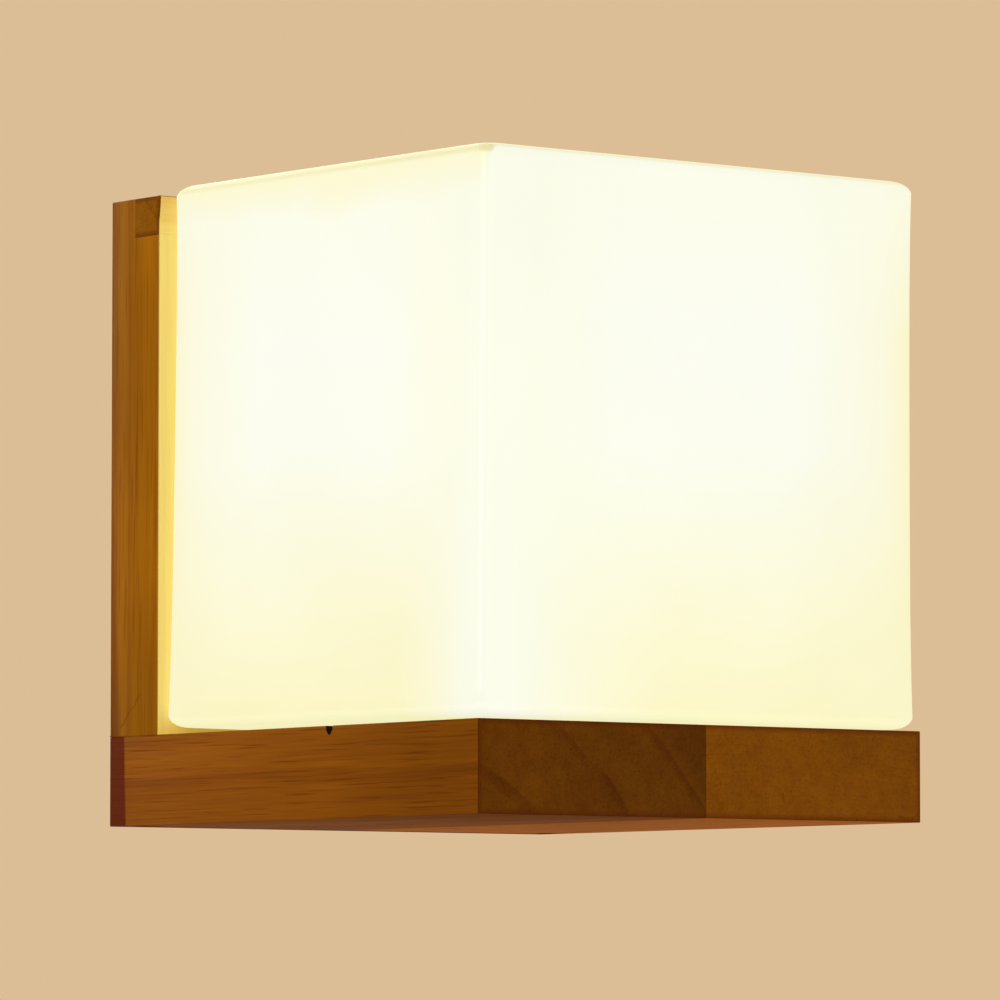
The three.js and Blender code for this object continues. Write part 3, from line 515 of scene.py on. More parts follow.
def metal(name, colour, rough, along, grain=0.12, spots=0.5, metallic=1.0):
    """Worked metal: brushed lines along one row axis, and faint blotches in the plating."""
    material, tree, shader = new_material(name, Metallic=metallic)
    place = put(tree, "TexCoord").outputs["Object"]
    scale = tuple(60 if axis == along else 3200 for axis in "XYZ")
    lines = put(tree, "TexNoise", {"Vector": stretched(tree, place, scale), "Scale": 1,
                                   "Detail": 2}).outputs["Fac"]
    blotch = put(tree, "TexNoise", {"Vector": place, "Scale": 160, "Detail": 3}).outputs["Fac"]
    shade = ramp(tree, blotch, [(0.3, 1 - 0.28 * spots), (0.7, 1.0)])
    plain = blended(tree, figure(tree, "MULTIPLY", lines, 0.25), colour,
                    tuple(channel * 0.7 for channel in colour))
    tree.links.new(blended(tree, 1.0, plain, shade, "MULTIPLY"), shader.inputs["Base Color"])
    worn = figure(tree, "ADD", figure(tree, "MULTIPLY", lines, grain),
                  figure(tree, "ADD", figure(tree, "MULTIPLY", blotch, 0.12 * spots), rough))
    tree.links.new(worn, shader.inputs["Roughness"])
    bump = put(tree, "Bump", {"Height": lines, "Strength": 0.12, "Distance": 0.00004})
    tree.links.new(bump.outputs[0], shader.inputs["Normal"])
    return material


plate = copy_of("hanging_plate", "plate", 0.00018)
plate.data.materials.append(metal("zinc_plate", (0.62, 0.63, 0.63), 0.26, "X"))
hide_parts("hanging_plate")
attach(plate, "lamp")


# The screws: zinc-plated wood screws with a cross recess in the head. Two hold the shelf to the
# sides, four the plate, two the strap, and one the terminal block.

zinc_screw = metal("zinc_screw", (0.66, 0.65, 0.60), 0.24, "Z", spots=0.8)


def turned_form(profile, sides, centre=(0, 0), wave=None):
    """A turned form about an upright axis. Each ring of the profile is [radius, height]; a wave
    adds to the radius by angle and height."""
    form = bmesh.new()
    rings = []
    for radius, height in profile:
        if radius < 1e-7:
            rings.append([form.verts.new((centre[0], centre[1], height))])
            continue
        ring = []
        for side in range(sides):
            angle = 2 * math.pi * side / sides
            reach = radius + (wave(angle, radius, height) if wave else 0)
            ring.append(form.verts.new((
                centre[0] + reach * math.cos(angle), centre[1] + reach * math.sin(angle), height)))
        rings.append(ring)
    for lower, upper in zip(rings, rings[1:]):
        for side in range(sides):
            after = (side + 1) % sides
            corners = [lower[side % len(lower)], lower[after % len(lower)],
                       upper[after % len(upper)], upper[side % len(upper)]]
            unlike = list(dict.fromkeys(corners))
            if len(unlike) > 2:
                form.faces.new(unlike)
    return form


def screw(name, node, pointing, head_radius, head_height, shank_radius, length, tip, round_head):
    """A screw with its thread and its cross recess, set where its node is."""
    low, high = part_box(node)
    middle = (low + high) / 2
    sides, pitch, per_turn = 24, shank_radius * 0.85, 6
    profile = [(0, -length)]
    rows = int((length - head_height) / pitch * per_turn)
    for row in range(rows + 1):
        height = -length + (length - head_height) * row / rows
        taper = min(1, (height + length) / tip)
        profile.append((max(0.0001, shank_radius * taper), height))
    if round_head:
        profile[-1] = (shank_radius, 0)
        profile.append((head_radius, 0))
        for step in range(1, 8):
            angle = step / 8 * math.pi / 2
            profile.append((head_radius * math.cos(angle), head_height * math.sin(angle)))
        profile.append((0, head_height))
    else:
        profile += [(head_radius, -0.00025), (head_radius - 0.0001, 0), (0, 0)]

    def thread(angle, radius, height):
        if height > -head_height * 1.2 or height < -length + tip * 0.2 or radius > shank_radius:
            return 0
        turn = height / pitch - angle / (2 * math.pi)
        return -0.22 * shank_radius * (0.5 + 0.5 * math.cos(2 * math.pi * turn)) ** 0.6

    piece = finish_mesh(turned_form(profile, sides, wave=thread), name, 40)
    top = head_height if round_head else 0
    depth = head_height * 0.9 if round_head else min(head_height * 0.85, 0.0016)
    for quarter in range(2):
        arm = bmesh.new()
        bmesh.ops.create_cube(arm, size=1)
        wide, thin = head_radius * 0.60, head_radius * 0.13
        for vertex in arm.verts:
            narrow = 1 if vertex.co.z > 0 else 0.45
            vertex.co.x *= 2 * (wide if quarter else thin) * narrow
            vertex.co.y *= 2 * (thin if quarter else wide) * narrow
            vertex.co.z = top + 0.0002 if vertex.co.z > 0 else top - depth
        cut_away(piece, arm)
    sharpen(piece, 40)
    turn = {"down": Matrix.Identity(4), "up": Matrix.Rotation(math.pi, 4, "X"),
            "forward": Matrix.Rotation(-math.pi / 2, 4, "X")}[pointing]
    seat = {"down": Vector((middle.x, middle.y, high.z - (head_height if round_head else 0))),
            "up": Vector((middle.x, middle.y, low.z)),
            "forward": Vector((middle.x, high.y, middle.z))}[pointing]
    piece.data.transform(Matrix.Translation(seat) @ turn)
    piece.data.materials.append(zinc_screw)
    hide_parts(node)
    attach(piece, "lamp")


for side in ("left", "right"):
    screw("shelf_screw_" + side + "_cross", "shelf_screw_" + side, "up",
          0.0036, 0.0024, 0.0018, 0.045, 0.004, False)
    screw("strap_screw_" + side + "_cross", "strap_screw_" + side, "down",
          0.0030, 0.0020, 0.0014, 0.010, 0.002, True)
    for level in ("lower", "upper"):
        screw(f"plate_screw_{level}_{side}_cross", f"plate_screw_{level}_{side}", "forward",
              0.0027, 0.0014, 0.0013, 0.012, 0.002, False)
screw("block_screw_cross", "block_screw", "forward", 0.0022, 0.0014, 0.0011, 0.011, 0.002, False)


# The terminal block: a white moulding with two brass clamps. Each clamp has two slotted screws,
# which reach in from the back through their towers.


def moulded(name, colour, rough, speck=0.5):
    """Moulded plastic or glaze: a faint mottle in the colour, and an orange-peel surface."""
    material, tree, shader = new_material(name, IOR=1.48)
    place = put(tree, "TexCoord").outputs["Object"]
    mottle = put(tree, "TexNoise", {"Vector": place, "Scale": 240, "Detail": 4}).outputs["Fac"]
    peel = put(tree, "TexNoise", {"Vector": place, "Scale": 2600, "Detail": 2}).outputs["Fac"]
    shade = ramp(tree, mottle, [(0.3, 1 - 0.10 * speck), (0.7, 1.0)])
    tree.links.new(blended(tree, 1.0, colour, shade, "MULTIPLY"), shader.inputs["Base Color"])
    rubbed = figure(tree, "ADD", figure(tree, "MULTIPLY", mottle, 0.14), rough - 0.07)
    tree.links.new(rubbed, shader.inputs["Roughness"])
    bump = put(tree, "Bump", {"Height": peel, "Strength": 0.10, "Distance": 0.00005})
    tree.links.new(bump.outputs[0], shader.inputs["Normal"])
    return material


brass_metal = metal("brass_metal", (0.72, 0.50, 0.20), 0.22, "Z", spots=0.9)
block = copy_of("terminal_block", "block", 0.00018)
block.data.materials.append(moulded("block_plastic", (0.86, 0.85, 0.82), 0.42))
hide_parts("terminal_block")
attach(block, "lamp")
for pole in ("live", "neutral"):
    clamp = copy_of("terminal_clamp_" + pole, "clamp_" + pole, 0.0)
    clamp.data.materials.append(brass_metal)
    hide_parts("terminal_clamp_" + pole)
    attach(clamp, "lamp")
    for row in ("lower", "upper"):
        node = f"terminal_screw_{pole}_{row}"
        low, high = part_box(node)
        length = high.y - low.y
        radius = (high.x - low.x) / 2
        profile = [(0, -length), (radius * 0.7, -length), (radius, -length + 0.0003)]
        profile += [(radius * (0.93 if step % 2 else 1), -length * (1 - step / 9) - 0.0003)
                    for step in range(1, 8)]
        profile += [(radius, -0.0002), (radius - 0.0002, 0), (0, 0)]
        slotted = finish_mesh(turned_form(profile, 24), f"slotted_screw_{pole}_{row}", 40)
        cut_away(slotted, box_form((-radius * 1.2, -0.00022, -0.0007), (radius * 1.2, 0.00022, 0.001)))
        sharpen(slotted, 40)
        middle = (low + high) / 2
        slotted.data.transform(Matrix.Translation((middle.x, high.y, middle.z))
                               @ Matrix.Rotation(-math.pi / 2, 4, "X"))
        slotted.data.materials.append(brass_metal)
        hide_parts(node)
        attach(slotted, "lamp")


# The wires: two single cores with silicone insulation, brown and blue. They run from the insert
# down through the nipple, along the channel and up behind the panel to the clamps.

wire_radius = 0.0011
wire_bend = 0.0046
clamp_low, clamp_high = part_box("terminal_clamp_live")
clamp_y = (clamp_low.y + clamp_high.y) / 2


def bent_line(corners, bend, steps=8):
    """The points of a line through the corners, with each corner rounded."""
    points = [corners[0]]
    for before, corner, after in zip(corners, corners[1:], corners[2:]):
        start = corner + (before - corner).normalized() * min(bend, (before - corner).length / 2)
        end = corner + (after - corner).normalized() * min(bend, (after - corner).length / 2)
        for step in range(steps + 1):
            t = step / steps
            points.append(start * (1 - t) ** 2 + corner * 2 * t * (1 - t) + end * t ** 2)
    return points + [corners[-1]]


def tube(points, radius, sides, name):
    """A round tube along points, closed at both ends."""
    form = bmesh.new()
    rings = []
    normal = None
    for index, point in enumerate(points):
        ahead = points[min(index + 1, len(points) - 1)] - points[max(index - 1, 0)]
        ahead.normalize()
        if normal is None:
            normal = ahead.orthogonal().normalized()
        normal = (normal - ahead * normal.dot(ahead)).normalized()
        other = ahead.cross(normal)
        rings.append([
            form.verts.new(point + radius * (normal * math.cos(a) + other * math.sin(a)))
            for a in (2 * math.pi * side / sides for side in range(sides))
        ])
    for lower, upper in zip(rings, rings[1:]):
        for side in range(sides):
            after = (side + 1) % sides
            form.faces.new((lower[side], lower[after], upper[after], upper[side]))
    form.faces.new(list(reversed(rings[0])))
    form.faces.new(rings[-1])
    return finish_mesh(form, name, 50)


insert_low, insert_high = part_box("holder_insert")
for pole, side, colour, slot in (("live", -1, (0.085, 0.030, 0.012), "brown_wire"),
                                 ("neutral", 1, (0.012, 0.06, 0.30), "blue_wire")):
    low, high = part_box(pole + "_wire")
    x = side * 0.0014
    pole_x = side * 0.005
    run_z = channel_floor + 0.0004 + wire_radius
    foot_z = clamp_low.z
    corners = [
        Vector((x, middle_y, insert_low.z - 0.0003)),
        Vector((x, middle_y, run_z)),
        Vector((x, clamp_y, run_z)),
        Vector((x, clamp_y, board_high.z + wire_bend)),
        Vector((pole_x, clamp_y, foot_z - 2 * wire_bend)),
        Vector((pole_x, clamp_y, foot_z + 0.005)),
    ]
    wire = tube(bent_line(corners, wire_bend), wire_radius, 16, pole + "_core")
    wire.data.materials.append(moulded(slot + "_silicone", colour, 0.46))
    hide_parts(pole + "_wire")
    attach(wire, "lamp")


# The seat ring: a flat ring of clear silicone on the floor of the recess, which keeps the glass
# off the wood and stops it from rattling.

seat_low, seat_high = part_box("shade_seat_ring")
seat_outer = (seat_high.x - seat_low.x) / 2
seat_inner = seat_outer - 0.005
lip = 0.0003
seat = finish_mesh(turned_form([
    (seat_inner, seat_low.z + lip), (seat_inner + lip, seat_low.z), (seat_outer - lip, seat_low.z),
    (seat_outer, seat_low.z + lip), (seat_outer, seat_high.z - lip), (seat_outer - lip, seat_high.z),
    (seat_inner + lip, seat_high.z), (seat_inner, seat_high.z - lip), (seat_inner, seat_low.z + lip),
], 128, (0, middle_y)), "silicone_ring", 60)
silicone, tree, shader = new_material("clear_silicone", IOR=1.41, Roughness=0.32,
                                      Subsurface_Weight=0.3, Subsurface_Scale=0.002)
cloud = put(tree, "TexNoise", {"Vector": put(tree, "TexCoord").outputs["Object"], "Scale": 320,
                               "Detail": 3}).outputs["Fac"]
tree.links.new(ramp(tree, cloud, [(0.3, (0.60, 0.60, 0.56)), (0.7, (0.72, 0.72, 0.68))]),
               shader.inputs["Base Color"])
seat.data.materials.append(silicone)
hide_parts("shade_seat_ring")
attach(seat, "lamp")


# The lampholder: a zinc-plated strap bridges the pocket, and a threaded nipple with a nut clamps
# the white cap to it. A porcelain insert, the nickel screw shell and a brass spring stack inside
# a ribbed barrel.

thread_pitch = 0.0254 / 7


def spiral(depth, pitch, base=0.0, hand=1):
    """A wave for a turned form: a round thread of a depth and pitch, with its foot at a height."""
    def wave(angle, radius, height):
        turn = (height - base) / pitch - hand * angle / (2 * math.pi)
        return depth * 0.5 * math.cos(2 * math.pi * turn)
    return wave


def steps_between(first, last, count):
    return [first + (last - first) * step / count for step in range(count + 1)]


strap = copy_of("holder_strap", "strap", 0.00016)
strap.data.materials.append(metal("zinc_strap", (0.64, 0.64, 0.62), 0.26, "X"))
nut = copy_of("holder_nut", "nut", 0.00025, 2, 30)
nut.data.materials.append(zinc_screw)
nipple_low, nipple_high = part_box("holder_nipple")
nipple_radius = (nipple_high.x - nipple_low.x) / 2
nipple_profile = [(0.0034, nipple_high.z), (0.0034, nipple_low.z)]
nipple_profile += [(nipple_radius - 0.00025, z)
                   for z in steps_between(nipple_low.z, nipple_high.z, 72)]
nipple_profile += [(0.0034, nipple_high.z)]
fine_thread = spiral(0.0005, 0.001)
nipple = finish_mesh(turned_form(
    nipple_profile, 48, (0, middle_y),
    lambda angle, radius, height: fine_thread(angle, radius, height) if radius > 0.004 else 0,
), "nipple", 60)
nipple.data.materials.append(zinc_screw)

porcelain = moulded("glazed_porcelain", (0.86, 0.85, 0.81), 0.16, 0.3)
insert_radius = (insert_high.x - insert_low.x) / 2
insert = finish_mesh(turned_form([
    (0, insert_low.z), (insert_radius - 0.002, insert_low.z), (insert_radius, insert_low.z + 0.002),
    (insert_radius, insert_high.z - 0.0005), (insert_radius - 0.0005, insert_high.z),
    (0.0147, insert_high.z), (0.0143, insert_high.z - 0.0008), (0.0132, insert_high.z - 0.0008),
    (0.0128, insert_high.z), (0.0105, insert_high.z), (0.0100, insert_high.z - 0.0006),
    (0.0, insert_high.z - 0.0006),
], 96, (0, middle_y)), "insert", 40)
insert.data.materials.append(porcelain)

white_mould = moulded("white_mould", (0.84, 0.83, 0.80), 0.38)
cap_low, cap_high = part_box("holder_cap")
cap_radius = (cap_high.x - cap_low.x) / 2
groove_count = 36


def grip(depth, low, high):
    """A wave that presses upright grooves into a wall between two heights."""
    def wave(angle, radius, height):
        if not low < height < high:
            return 0
        return -depth * max(0, math.cos(groove_count * angle)) ** 3
    return wave


def rounded_tube(inner, outer, low, high, fillet, count=6):
    """The profile of a tube whose outer rims are rounded."""
    profile = [(inner, low), (outer - fillet, low)]
    for step in range(1, 5):
        angle = step / 4 * math.pi / 2
        profile.append((outer - fillet + fillet * math.sin(angle),
                        low + fillet - fillet * math.cos(angle)))
    profile += [(outer, z) for z in steps_between(low + fillet, high - fillet, count)[1:]]
    for step in range(1, 5):
        angle = step / 4 * math.pi / 2
        profile.append((outer - fillet + fillet * math.cos(angle),
                        high - fillet + fillet * math.sin(angle)))
    return profile + [(inner, high)]


holder_cap = finish_mesh(turned_form(
    rounded_tube(cap_radius - 0.002, cap_radius, cap_low.z, cap_high.z, 0.0012, 12)
    + [(cap_radius - 0.002, cap_low.z + 0.0025), (0.0053, cap_low.z + 0.0025), (0.0053, cap_low.z),
       (cap_radius - 0.002, cap_low.z)],
    216, (0, middle_y), lambda a, r, z: grip(0.0005, cap_low.z + 0.003, cap_high.z - 0.002)(a, r, z)
    if r > cap_radius - 0.0001 else 0), "ribbed_cap", 50)
holder_cap.data.materials.append(white_mould)
barrel_low, barrel_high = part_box("holder_barrel")
barrel_radius = (barrel_high.x - barrel_low.x) / 2
barrel_profile = rounded_tube(0.0148, barrel_radius, barrel_low.z, barrel_high.z, 0.0015, 20)
barrel_profile[0] = (barrel_radius - 0.002, barrel_low.z)
barrel_profile += [(0.0148, barrel_high.z - 0.003), (barrel_radius - 0.002, barrel_high.z - 0.003),
                   (barrel_radius - 0.002, barrel_low.z)]
barrel = finish_mesh(turned_form(
    barrel_profile, 216, (0, middle_y),
    lambda a, r, z: grip(0.0006, barrel_low.z + 0.003, barrel_high.z - 0.006)(a, r, z)
    if r > barrel_radius - 0.0001 else 0), "ribbed_barrel", 50)
barrel.data.materials.append(white_mould)

shell_low, shell_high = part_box("holder_screw_shell")
bulb_foot_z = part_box("bulb_contact")[0].z
thread_base = bulb_foot_z
shell_rows = steps_between(shell_low.z, shell_high.z, 66)
shell_profile = ([(0.01385, z) for z in shell_rows] + [(0.01345, z) for z in reversed(shell_rows)]
                 + [(0.01385, shell_low.z)])
shell = finish_mesh(turned_form(
    shell_profile, 72, (0, middle_y),
    lambda a, r, z: spiral(0.0009, thread_pitch, thread_base)(a, r, z)
    * min(1, (z - shell_low.z) / 0.002, (shell_high.z - z) / 0.002 + 0.2)), "screw_shell", 60)
shell.data.materials.append(metal("nickel_shell", (0.70, 0.68, 0.62), 0.16, "Z"))

spring = copy_of("holder_contact_spring", "contact_spring", 0.00012, 2, 40, 0.5)
spring.data.materials.append(brass_metal)
for piece, node, slot in (
        (strap, "holder_strap", "zinc_steel"), (nut, "holder_nut", "zinc_steel"),
        (nipple, "holder_nipple", "zinc_steel"), (insert, "holder_insert", "porcelain"),
        (holder_cap, "holder_cap", "white_plastic"), (barrel, "holder_barrel", "white_plastic"),
        (shell, "holder_screw_shell", "nickel"), (spring, "holder_contact_spring", "brass")):
    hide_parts(node)
    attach(piece, "lamp")


# The bulb: a soldered foot contact in black glass, a rolled nickel cap, a white cup that holds a
# ring of light-emitting chips on a board, and an opal dome that glows warm.

foot_low, foot_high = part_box("bulb_contact")
foot_radius = (foot_high.x - foot_low.x) / 2
foot = finish_mesh(turned_form(
    [(0, foot_low.z)] + [(foot_radius * math.sin(a), foot_low.z + 0.0007 * (1 - math.cos(a)))
                         for a in steps_between(0, math.pi / 2, 8)[1:]]
    + [(foot_radius, foot_high.z - 0.00002), (0, foot_high.z - 0.00002)],
    48, (0, middle_y),
    lambda a, r, z: 0.00006 * math.sin(6 * a) if 0 < r < foot_radius else 0), "foot_contact", 60)
foot.data.materials.append(metal("solder", (0.66, 0.63, 0.55), 0.34, "Z", spots=1.0))
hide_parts("bulb_contact")
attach(foot, "bulb_foot")

cone_low, cone_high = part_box("bulb_insulator")
cone_radius = (cone_high.x - cone_low.x) / 2
cone = finish_mesh(turned_form([
    (0, cone_low.z), (foot_radius, cone_low.z), (foot_radius + 0.0006, cone_low.z + 0.0001),
    (cone_radius - 0.0016, bulb_foot_z + 0.0034), (cone_radius - 0.0003, bulb_foot_z + 0.0040),
    (cone_radius, bulb_foot_z + 0.0048), (cone_radius, cone_high.z), (0, cone_high.z),
], 72, (0, middle_y)), "black_glass_foot", 45)
cone.data.materials.append(moulded("black_glass_foot", (0.012, 0.012, 0.014), 0.14, 0.6))

screw_low, screw_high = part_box("bulb_cap")
screw_rows = steps_between(screw_low.z, screw_high.z, 90)
thread_end = screw_high.z - 0.0065


def cap_wave(angle, radius, height):
    fade = min(1, max(0, (height - screw_low.z) / 0.0012), max(0, (thread_end - height) / 0.0015))
    return spiral(0.0009, thread_pitch, thread_base)(angle, radius, height) * fade


cap_profile = ([(0.01275, z) for z in screw_rows] + [(0.01245, z) for z in reversed(screw_rows)]
               + [(0.01275, screw_low.z)])
screw_cap = finish_mesh(turned_form(cap_profile, 72, (0, middle_y), cap_wave), "screw_cap", 60)
screw_cap.data.materials.append(metal("nickel_cap", (0.72, 0.70, 0.65), 0.17, "Z"))

cup_low, cup_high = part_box("bulb_housing")
cup_radius = (cup_high.x - cup_low.x) / 2
collar_z = screw_high.z + 0.0003
cup_profile = [(0.0105, cup_low.z), (0.012, cup_low.z), (0.012, collar_z), (0.0126, collar_z)]
for step in range(0, 25):
    share = step / 24
    cup_profile.append((0.0129 + (cup_radius - 0.0129) * math.sin(share * math.pi / 2),
                        collar_z + 0.0002 + (cup_high.z - collar_z - 0.0005) * share))
cup_profile += [(cup_radius - 0.0003, cup_high.z), (0.0253, cup_high.z), (0.0253, cup_high.z - 0.0025),
                (0.0235, cup_high.z - 0.0025)]
for step in range(20, 2, -1):
    share = step / 24
    radius = 0.0114 + (cup_radius - 0.0129) * math.sin(share * math.pi / 2)
    if radius < 0.0235:
        cup_profile.append((radius, collar_z + (cup_high.z - collar_z) * share))
cup_profile.append((0.0105, cup_low.z))
cup = finish_mesh(turned_form(cup_profile, 96, (0, middle_y)), "bulb_cup", 50)
cup.data.materials.append(moulded("cup_plastic", (0.83, 0.82, 0.79), 0.34))

led_board = copy_of("bulb_led_board", "led_board", 0.0)
board_white, tree, shader = new_material("led_board_white", Roughness=0.4)
place = put(tree, "TexCoord").outputs["Object"]
up = put(tree, "SeparateXYZ", {0: place}).outputs[2]
chips = figure(tree, "GREATER_THAN", up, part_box("bulb_led_board")[1].z - 0.0006)
speckle = put(tree, "TexNoise", {"Vector": place, "Scale": 500, "Detail": 2}).outputs["Fac"]
resist = ramp(tree, speckle, [(0.3, (0.78, 0.78, 0.76)), (0.7, (0.86, 0.86, 0.84))])
tree.links.new(blended(tree, chips, resist, (0.85, 0.62, 0.12)), shader.inputs["Base Color"])
led_board.data.materials.append(board_white)

dome_low, dome_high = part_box("bulb_diffuser")
dome_radius = (dome_high.x - dome_low.x) / 2
widest_z = bulb_foot_z + (dome_high.z - bulb_foot_z) * 0.7


def dome_skin(inset):
    """One skin of the dome, from its rim to its top."""
    skin = []
    for step in range(12):
        share = step / 12
        skin.append((cup_radius + (dome_radius - cup_radius) * math.sin(share * math.pi / 2) - inset,
                     dome_low.z + (widest_z - dome_low.z) * share))
    for step in range(24):
        angle = step / 24 * math.pi / 2
        skin.append(((dome_radius - inset) * math.cos(angle),
                     widest_z + (dome_high.z - widest_z - inset) * math.sin(angle)))
    return skin + [(0, dome_high.z - inset)]


dome = finish_mesh(turned_form(list(reversed(dome_skin(0.0012))) + dome_skin(0), 96,
                               (0, middle_y)), "opal_dome", 60)
dome_glow, tree, shader = new_material("dome_glow", IOR=1.49, Roughness=0.35,
                                       Emission_Strength=1.0)
place = put(tree, "TexCoord").outputs["Object"]
mist = put(tree, "TexNoise", {"Vector": place, "Scale": 60, "Detail": 3}).outputs["Fac"]
tree.links.new(ramp(tree, mist, [(0.3, (0.33, 0.32, 0.29)), (0.7, (0.37, 0.36, 0.33))]),
               shader.inputs["Base Color"])
up = put(tree, "SeparateXYZ", {0: place}).outputs[2]
height = put(tree, "MapRange", {"Value": up, "From Min": dome_low.z, "From Max": dome_high.z})
tree.links.new(ramp(tree, height.outputs[0], [
    (0, (0.36, 0.27, 0.13)), (0.25, (0.52, 0.46, 0.31)), (1, (0.60, 0.56, 0.42))]),
    shader.inputs["Emission Color"])
dome.data.materials.append(dome_glow)
for piece, node, slot in (
        (cone, "bulb_insulator", "black_glass"), (screw_cap, "bulb_cap", "nickel"),
        (cup, "bulb_housing", "white_plastic"), (led_board, "bulb_led_board", "white_plastic"),
        (dome, "bulb_diffuser", "opal_plastic")):
    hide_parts(node)
    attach(piece, "bulb")


# The glass: a mould-blown block of white opal glass with rounded edges and a round neck below,
# which stands on the seat ring. The bulb lights it through: brightest level with the bulb, and
# a little warmer towards the corners and the foot.

wall = 0.003
draft = 0.0006
flare = 0.0005
edge_top, edge_bottom = 0.003, 0.0030
corner_top, corner_side, corner_bottom = 0.005, 0.0026, 0.005
inner_edge = 0.002
neck_radius = 0.042
rim = 0.0008
body_low = board_high.z + 0.0012
corner_steps, edge_steps = 12, 9
glass_half = ((glass_high.x - glass_low.x) / 2, (glass_high.y - glass_low.y) / 2)


def rounded_ring(half_x, half_y, radius, height):
    points = []
    for quarter in range(4):
        sign_x = 1 if quarter in (0, 3) else -1
        sign_y = 1 if quarter < 2 else -1
        for step in range(corner_steps):
            angle = (quarter + (step + 0.5) / corner_steps) * math.pi / 2
            points.append(Vector((sign_x * (half_x - radius) + radius * math.cos(angle),
                                  sign_y * (half_y - radius) + radius * math.sin(angle), height)))
    return points


def glass_skin(inset, top_radius, bottom_radius, corners):
    """The rings of one skin, from the flat of the top down to the flat of the bottom."""
    top, bottom = glass_high.z - inset, body_low + inset
    corner_high, corner_mid, corner_low = corners
    rings = []

    def lean(height):
        share = (height - body_low) / (glass_high.z - body_low)
        return inset + draft * share - flare * (2 * share - 1) ** 4

    for step in range(edge_steps + 1):
        angle = step / edge_steps * math.pi / 2
        height = top - top_radius * (1 - math.cos(angle))
        inward = top_radius * (1 - math.sin(angle)) + lean(height)
        corner = corner_mid + (corner_high - corner_mid) * math.cos(angle)
        rings.append(rounded_ring(glass_half[0] - inward, glass_half[1] - inward, corner, height))
    for share in (0.03, 0.08, 0.2, 0.4, 0.6, 0.8, 0.92, 0.97):
        height = top - top_radius + (bottom + bottom_radius - top + top_radius) * share
        inward = lean(height)
        rings.append(rounded_ring(glass_half[0] - inward, glass_half[1] - inward, corner_mid, height))
    for step in range(edge_steps, -1, -1):
        angle = step / edge_steps * math.pi / 2
        height = bottom + bottom_radius * (1 - math.cos(angle))
        inward = bottom_radius * (1 - math.sin(angle)) + lean(height)
        corner = corner_mid + (corner_low - corner_mid) * math.cos(angle)
        rings.append(rounded_ring(glass_half[0] - inward, glass_half[1] - inward, corner, height))
    return rings


def circle(radius, height):
    return rounded_ring(radius, radius, radius, height)


bore = neck_radius - wall
neck_low = glass_low.z
rings = glass_skin(0, edge_top, edge_bottom, (corner_top, corner_side, corner_bottom))
for step in range(1, 5):
    angle = step / 4 * math.pi / 2
    rings.append(circle(neck_radius + rim * (1 - math.sin(angle)), body_low - rim * (1 - math.cos(angle))))
for step in range(5):
    angle = step / 4 * math.pi / 2
    rings.append(circle(neck_radius - rim * (1 - math.cos(angle)), neck_low + rim * (1 - math.sin(angle))))
for step in range(4, -1, -1):
    angle = step / 4 * math.pi / 2
    rings.append(circle(bore + rim * (1 - math.cos(angle)), neck_low + rim * (1 - math.sin(angle))))
rings += [circle(bore, body_low + wall - rim), circle(bore + rim, body_low + wall)]
rings += reversed(glass_skin(wall, inner_edge, inner_edge,
                             (corner_top - wall, inner_edge, corner_bottom - wall)))
form = bmesh.new()
rows = [[form.verts.new(point + Vector((0, middle_y, 0))) for point in ring] for ring in rings]
around = 4 * corner_steps
for upper, lower in zip(rows, rows[1:]):
    for side in range(around):
        after = (side + 1) % around
        form.faces.new((upper[side], lower[side], lower[after], upper[after]))
form.faces.new(rows[0])
form.faces.new(list(reversed(rows[-1])))
foot = Vector((0, middle_y, neck_low))
crooked = Matrix.Rotation(math.radians(0.4), 4, Vector((0.607, 0.795, 0)))
bmesh.ops.transform(form, verts=form.verts,
                    matrix=Matrix.Translation(foot) @ crooked @ Matrix.Translation(-foot))
glass = finish_mesh(form, "opal_block", 50)
opal, tree, shader = new_material("opal_glass", IOR=1.5, Roughness=0.45,
                                  Specular_IOR_Level=0.3, Emission_Strength=1.0)
place = put(tree, "TexCoord").outputs["Object"]
apart = put(tree, "SeparateXYZ", {0: place}).outputs
facing = put(tree, "SeparateXYZ", {0: put(tree, "NewGeometry").outputs["Normal"]}).outputs
cloud = put(tree, "TexNoise", {"Vector": place, "Scale": 15, "Detail": 3}).outputs["Fac"]
tree.links.new(ramp(tree, cloud, [(0.3, (0.19, 0.188, 0.18)), (0.7, (0.21, 0.208, 0.20))]),
               shader.inputs["Base Color"])
drift = figure(tree, "MULTIPLY", figure(tree, "SUBTRACT", cloud, 0.5), 0.030)
level = put(tree, "MapRange", {"Value": figure(tree, "ADD", apart[2], drift),
                               "From Min": body_low, "From Max": glass_high.z}).outputs[0]
glow = ramp(tree, level, [
    (0.0, (0.755, 0.718, 0.366)), (0.06, (0.755, 0.729, 0.408)), (0.15, (0.755, 0.744, 0.456)),
    (0.30, (0.755, 0.770, 0.567)), (0.48, (0.755, 0.787, 0.688)), (0.68, (0.755, 0.789, 0.706)),
    (0.89, (0.755, 0.785, 0.663)), (1.0, (0.755, 0.778, 0.645))])
middle = put(tree, "VectorMath", {0: place, 1: (0, middle_y, 0)}, operation="SUBTRACT").outputs[0]
middle = put(tree, "SeparateXYZ", {0: put(tree, "VectorMath", {
    0: middle, 1: (1 / glass_half[0], 1 / glass_half[1], 1)}, operation="MULTIPLY").outputs[0]})
corner = figure(tree, "ABSOLUTE", figure(tree, "MULTIPLY", *middle.outputs[:2]))
corner = ramp(tree, corner, [(0.4, 0.0), (0.72, 0.28), (0.86, 0.48), (0.97, 0.95)])
lower_more = ramp(tree, level, [(0.0, 1.0), (0.72, 1.0), (1.0, 0.25)])
glow = blended(tree, figure(tree, "MULTIPLY", corner, lower_more), glow, (0.755, 0.726, 0.422))
